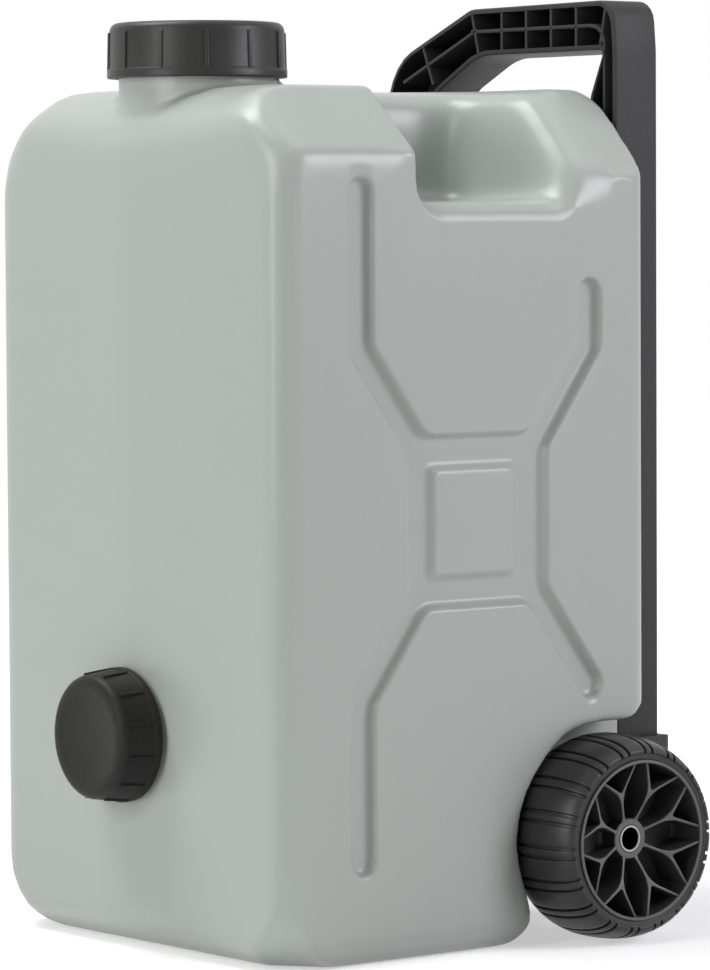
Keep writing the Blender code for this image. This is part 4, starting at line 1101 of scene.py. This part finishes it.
def make_tyre(name):
    """The right wheel's tyre, with a wide block and a narrow bar in each part of its tread."""
    place = Vector((0, AXLE_Y, AXLE_HEIGHT))
    steps = TREAD_PARTS * PART_STEPS
    tyre = spun(name, tyre_profile(), place, "X", steps)

    def in_groove(face):
        where = centre(face) - place
        angle = math.degrees(math.atan2(where.z, where.y)) % (360 / TREAD_PARTS)
        number = int(angle * steps / 360)
        return number in (0, 3) and math.hypot(where.y, where.z) > TYRE_EDGE + 0.1 * MM

    pick(tyre, "FACE", in_groove)
    bpy.ops.mesh.extrude_region_shrink_fatten(TRANSFORM_OT_shrink_fatten={"value": -2.2 * MM})
    bpy.ops.object.mode_set(mode="OBJECT")
    return soften_edges(tyre, 0.5 * MM, 2, 30, 50)


def mirrored(obj, name):
    """The same piece on the left side."""
    return copied(obj, name, Matrix.Scale(-1, 4, (1, 0, 0)))


def make_bracket(node, name):
    """An axle bracket with the edges of its solid rounded."""
    bracket = copy_of_node(node, name)
    edit(bracket)
    bpy.ops.mesh.select_all(action="SELECT")
    bpy.ops.mesh.dissolve_limited(angle_limit=math.radians(2))
    bpy.ops.object.mode_set(mode="OBJECT")
    return soften_edges(bracket, 0.8 * MM, 2, 40)


# Light, floor and camera


def lamp(name, place, size, power, colour):
    """A soft light panel that faces the middle of the tank."""
    light = bpy.data.lights.new(name, "AREA")
    light.shape = "RECTANGLE"
    light.size, light.size_y = size
    light.energy = power
    light.color = colour
    obj = bpy.data.objects.new(name, light)
    bpy.context.scene.collection.objects.link(obj)
    obj.location = place
    towards = Vector((0, 0, 0.3)) - Vector(place)
    obj.rotation_euler = towards.to_track_quat("-Z", "Y").to_euler()


def seen_directly(finish):
    """1 where the camera, a reflection or glass looks straight at a surface, and 0 for its light."""
    rays = ("Is Camera Ray", "Is Glossy Ray", "Is Transmission Ray")
    camera, glossy, glass = (finish.node("ShaderNodeLightPath", {}, {}, ray) for ray in rays)
    return finish.node("ShaderNodeMath", {"operation": "MAXIMUM"}, [camera, glossy + glass])


def light_the_studio():
    studio = Finish("studio", bpy.data.worlds.new("studio"), "Background", Color=WHITE)
    bpy.context.scene.world = studio.feed(Strength=seen_directly(studio))
    lamp("overhead softbox", (-0.64, -0.68, 2.3), (1.2, 1.2), 39, (0.99, 1.0, 1.0))
    lamp("front softbox", (0.3, -2.7, 1.15), (1.2, 1.6), 31.5, (1.0, 0.995, 0.985))
    lamp("right softbox", (2.2, 1.4, 1.4), (1.2, 1.2), 40, (1.0, 0.97, 1.06))
    lamp("rear softbox", (0.6, 0.8, 2.4), (1.2, 1.2), 5, (1.0, 1.0, 1.0))


def make_floor():
    """A plain white floor that keeps the soft shadow round the wheels and the foot."""
    clear_selection()
    bpy.ops.mesh.primitive_plane_add(size=12, location=(0, 0, 0))
    floor = bpy.context.object
    floor.name = "floor"
    finish = Finish("pale_floor", Roughness=0.9, Specular_IOR_Level=0.1, Emission_Strength=1.0)
    tone = finish.blend(finish.noise(0.5), FLOOR_DEEP, FLOOR_PALE)
    away = finish.node("ShaderNodeVectorMath", {"operation": "LENGTH"}, [finish.place], "Value")
    glow = seen_directly(finish) * (0.5 + finish.ramp(away, 0.4, 1.8) * 0.5)
    shine = finish.blend(glow, BLACK, WHITE)
    dress(floor, finish.feed(Base_Color=tone, Emission_Color=shine))


def place_camera():
    """The camera that was fitted to the photograph's straight edges."""
    bearing, roll = math.radians(51.94), math.radians(-0.32)
    forward = Vector((-0.78612, 0.61556, -0.05566)).normalized()
    right = Vector((math.cos(bearing), math.sin(bearing), 0))
    up = right.cross(forward)
    right_rolled = right * math.cos(roll) + up * math.sin(roll)
    up_rolled = up * math.cos(roll) - right * math.sin(roll)
    camera = bpy.data.objects.new("camera", bpy.data.cameras.new("camera"))
    bpy.context.scene.collection.objects.link(camera)
    stand = Matrix((right_rolled, up_rolled, -forward)).transposed().to_4x4()
    stand.translation = (2.34119, -1.80888, 0.44281)
    camera.matrix_world = stand
    sensor_width = 36
    focal_pixels, picture_height = 4739.3, 970
    camera.data.sensor_width = sensor_width
    camera.data.lens = focal_pixels * sensor_width / picture_height
    camera.data.clip_start = 0.05
    camera.data.clip_end = 30
    bpy.context.scene.camera = camera


# The scene

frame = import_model()
clear_selection()
bpy.context.scene.view_settings.view_transform = "Standard"
place_camera()
light_the_studio()
make_floor()

tank_plastic = tank_finish()
cap_plastic = dark_finish("cap_plastic", CAP_DARK, CAP_PALE, 0.36, 0.9 * MM, 0.03 * MM)
drain_plastic = dark_finish("drain_plastic", CAP_DARK, CAP_PALE, 0.42, 0.9 * MM, 0.03 * MM, sheen=0.14)
black_plastic = dark_finish("black_plastic", FRAME_DARK, FRAME_PALE, 0.52, 0.9 * MM, 0.035 * MM)
rim_plastic = rim_finish()
tyre_rubber = dark_finish("tyre_rubber", TYRE_DARK, TYRE_PALE, 0.36, 1.2 * MM, 0.06 * MM, 0.35, 0.4)
seal_rubber = dark_finish("seal_rubber", SEAL_DARK, SEAL_PALE, 0.7, 1.0 * MM, 0.04 * MM)
zinc_steel = steel_finish("zinc_steel")
tube_steel = steel_finish("tube_steel", AXLE_BORE)

shell = dress(make_tank_shell(), tank_plastic)
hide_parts("tank")
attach(shell, "base")

moulding = dress(make_trolley_frame(), black_plastic)
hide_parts("trolley_frame")
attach(moulding, "base")

fill_cap = make_cap("fill_screw_cap", 120, radius=55 * MM, length=33.6 * MM, bore=49.2 * MM, taper=0.6 * MM)
half_a_rib_round = Matrix.Rotation(math.pi / CAP_RIBS, 4, "Z")
fill_cap.data.transform(Matrix.Translation((0, NECK_Y, FILL_CAP_FOOT)) @ half_a_rib_round)
drain_cap = make_cap("drain_screw_cap", 96, radius=41 * MM, length=27.5 * MM, bore=36.2 * MM, taper=2 * MM)
to_front = Matrix.Rotation(math.radians(90), 4, "X")
drain_cap.data.transform(Matrix.Translation((0, DRAIN_CAP_FOOT, DRAIN_HEIGHT)) @ to_front)
for cap, node, finish in ((fill_cap, "fill_cap", cap_plastic), (drain_cap, "drain_cap", drain_plastic)):
    dress(cap, finish)
    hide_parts(node)
    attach(cap, cap.name)

fill_foot, drain_foot = (0, NECK_Y, FILL_THREAD_FOOT), (0, DRAIN_THREAD_FOOT, DRAIN_HEIGHT)
fill_thread = make_thread("fill_neck_thread", NECK_RADIUS - THREAD_SINK, fill_foot, "Z", 6 * MM)
drain_thread = make_thread("drain_neck_thread", DRAIN_NECK_RADIUS - THREAD_SINK, drain_foot, "Y", 5 * MM)
for thread in (fill_thread, drain_thread):
    dress(thread, tank_plastic)
    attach(thread, "base")

right_rim = dress(make_rim("right_rim"), rim_plastic)
right_tyre = dress(make_tyre("right_tread"), tyre_rubber)
left_rim = mirrored(right_rim, "left_rim")
left_tyre = mirrored(right_tyre, "left_tread")
for side, rim, tyre in (("right", right_rim, right_tyre), ("left", left_rim, left_tyre)):
    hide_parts(f"{side}_wheel_rim")
    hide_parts(f"{side}_tyre")
    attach(rim, f"{side}_wheel")
    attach(tyre, f"{side}_wheel")
    bracket = dress(make_bracket(f"{side}_axle_bracket", f"{side}_bracket"), black_plastic)
    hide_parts(f"{side}_axle_bracket")
    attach(bracket, "base")
    dress(frame["nodes"][f"{side}_axle_spacer"], black_plastic)
    dress(frame["nodes"][f"{side}_wheel_washer"], zinc_steel)

dress(frame["nodes"]["axle"], tube_steel)
for node in (name for name in frame["nodes"] if name.startswith("frame_screw")):
    dress(frame["nodes"][node], zinc_steel)
for node in ("fill_cap_seal", "drain_cap_seal"):
    dress(frame["nodes"][node], seal_rubber)

clear_selection()
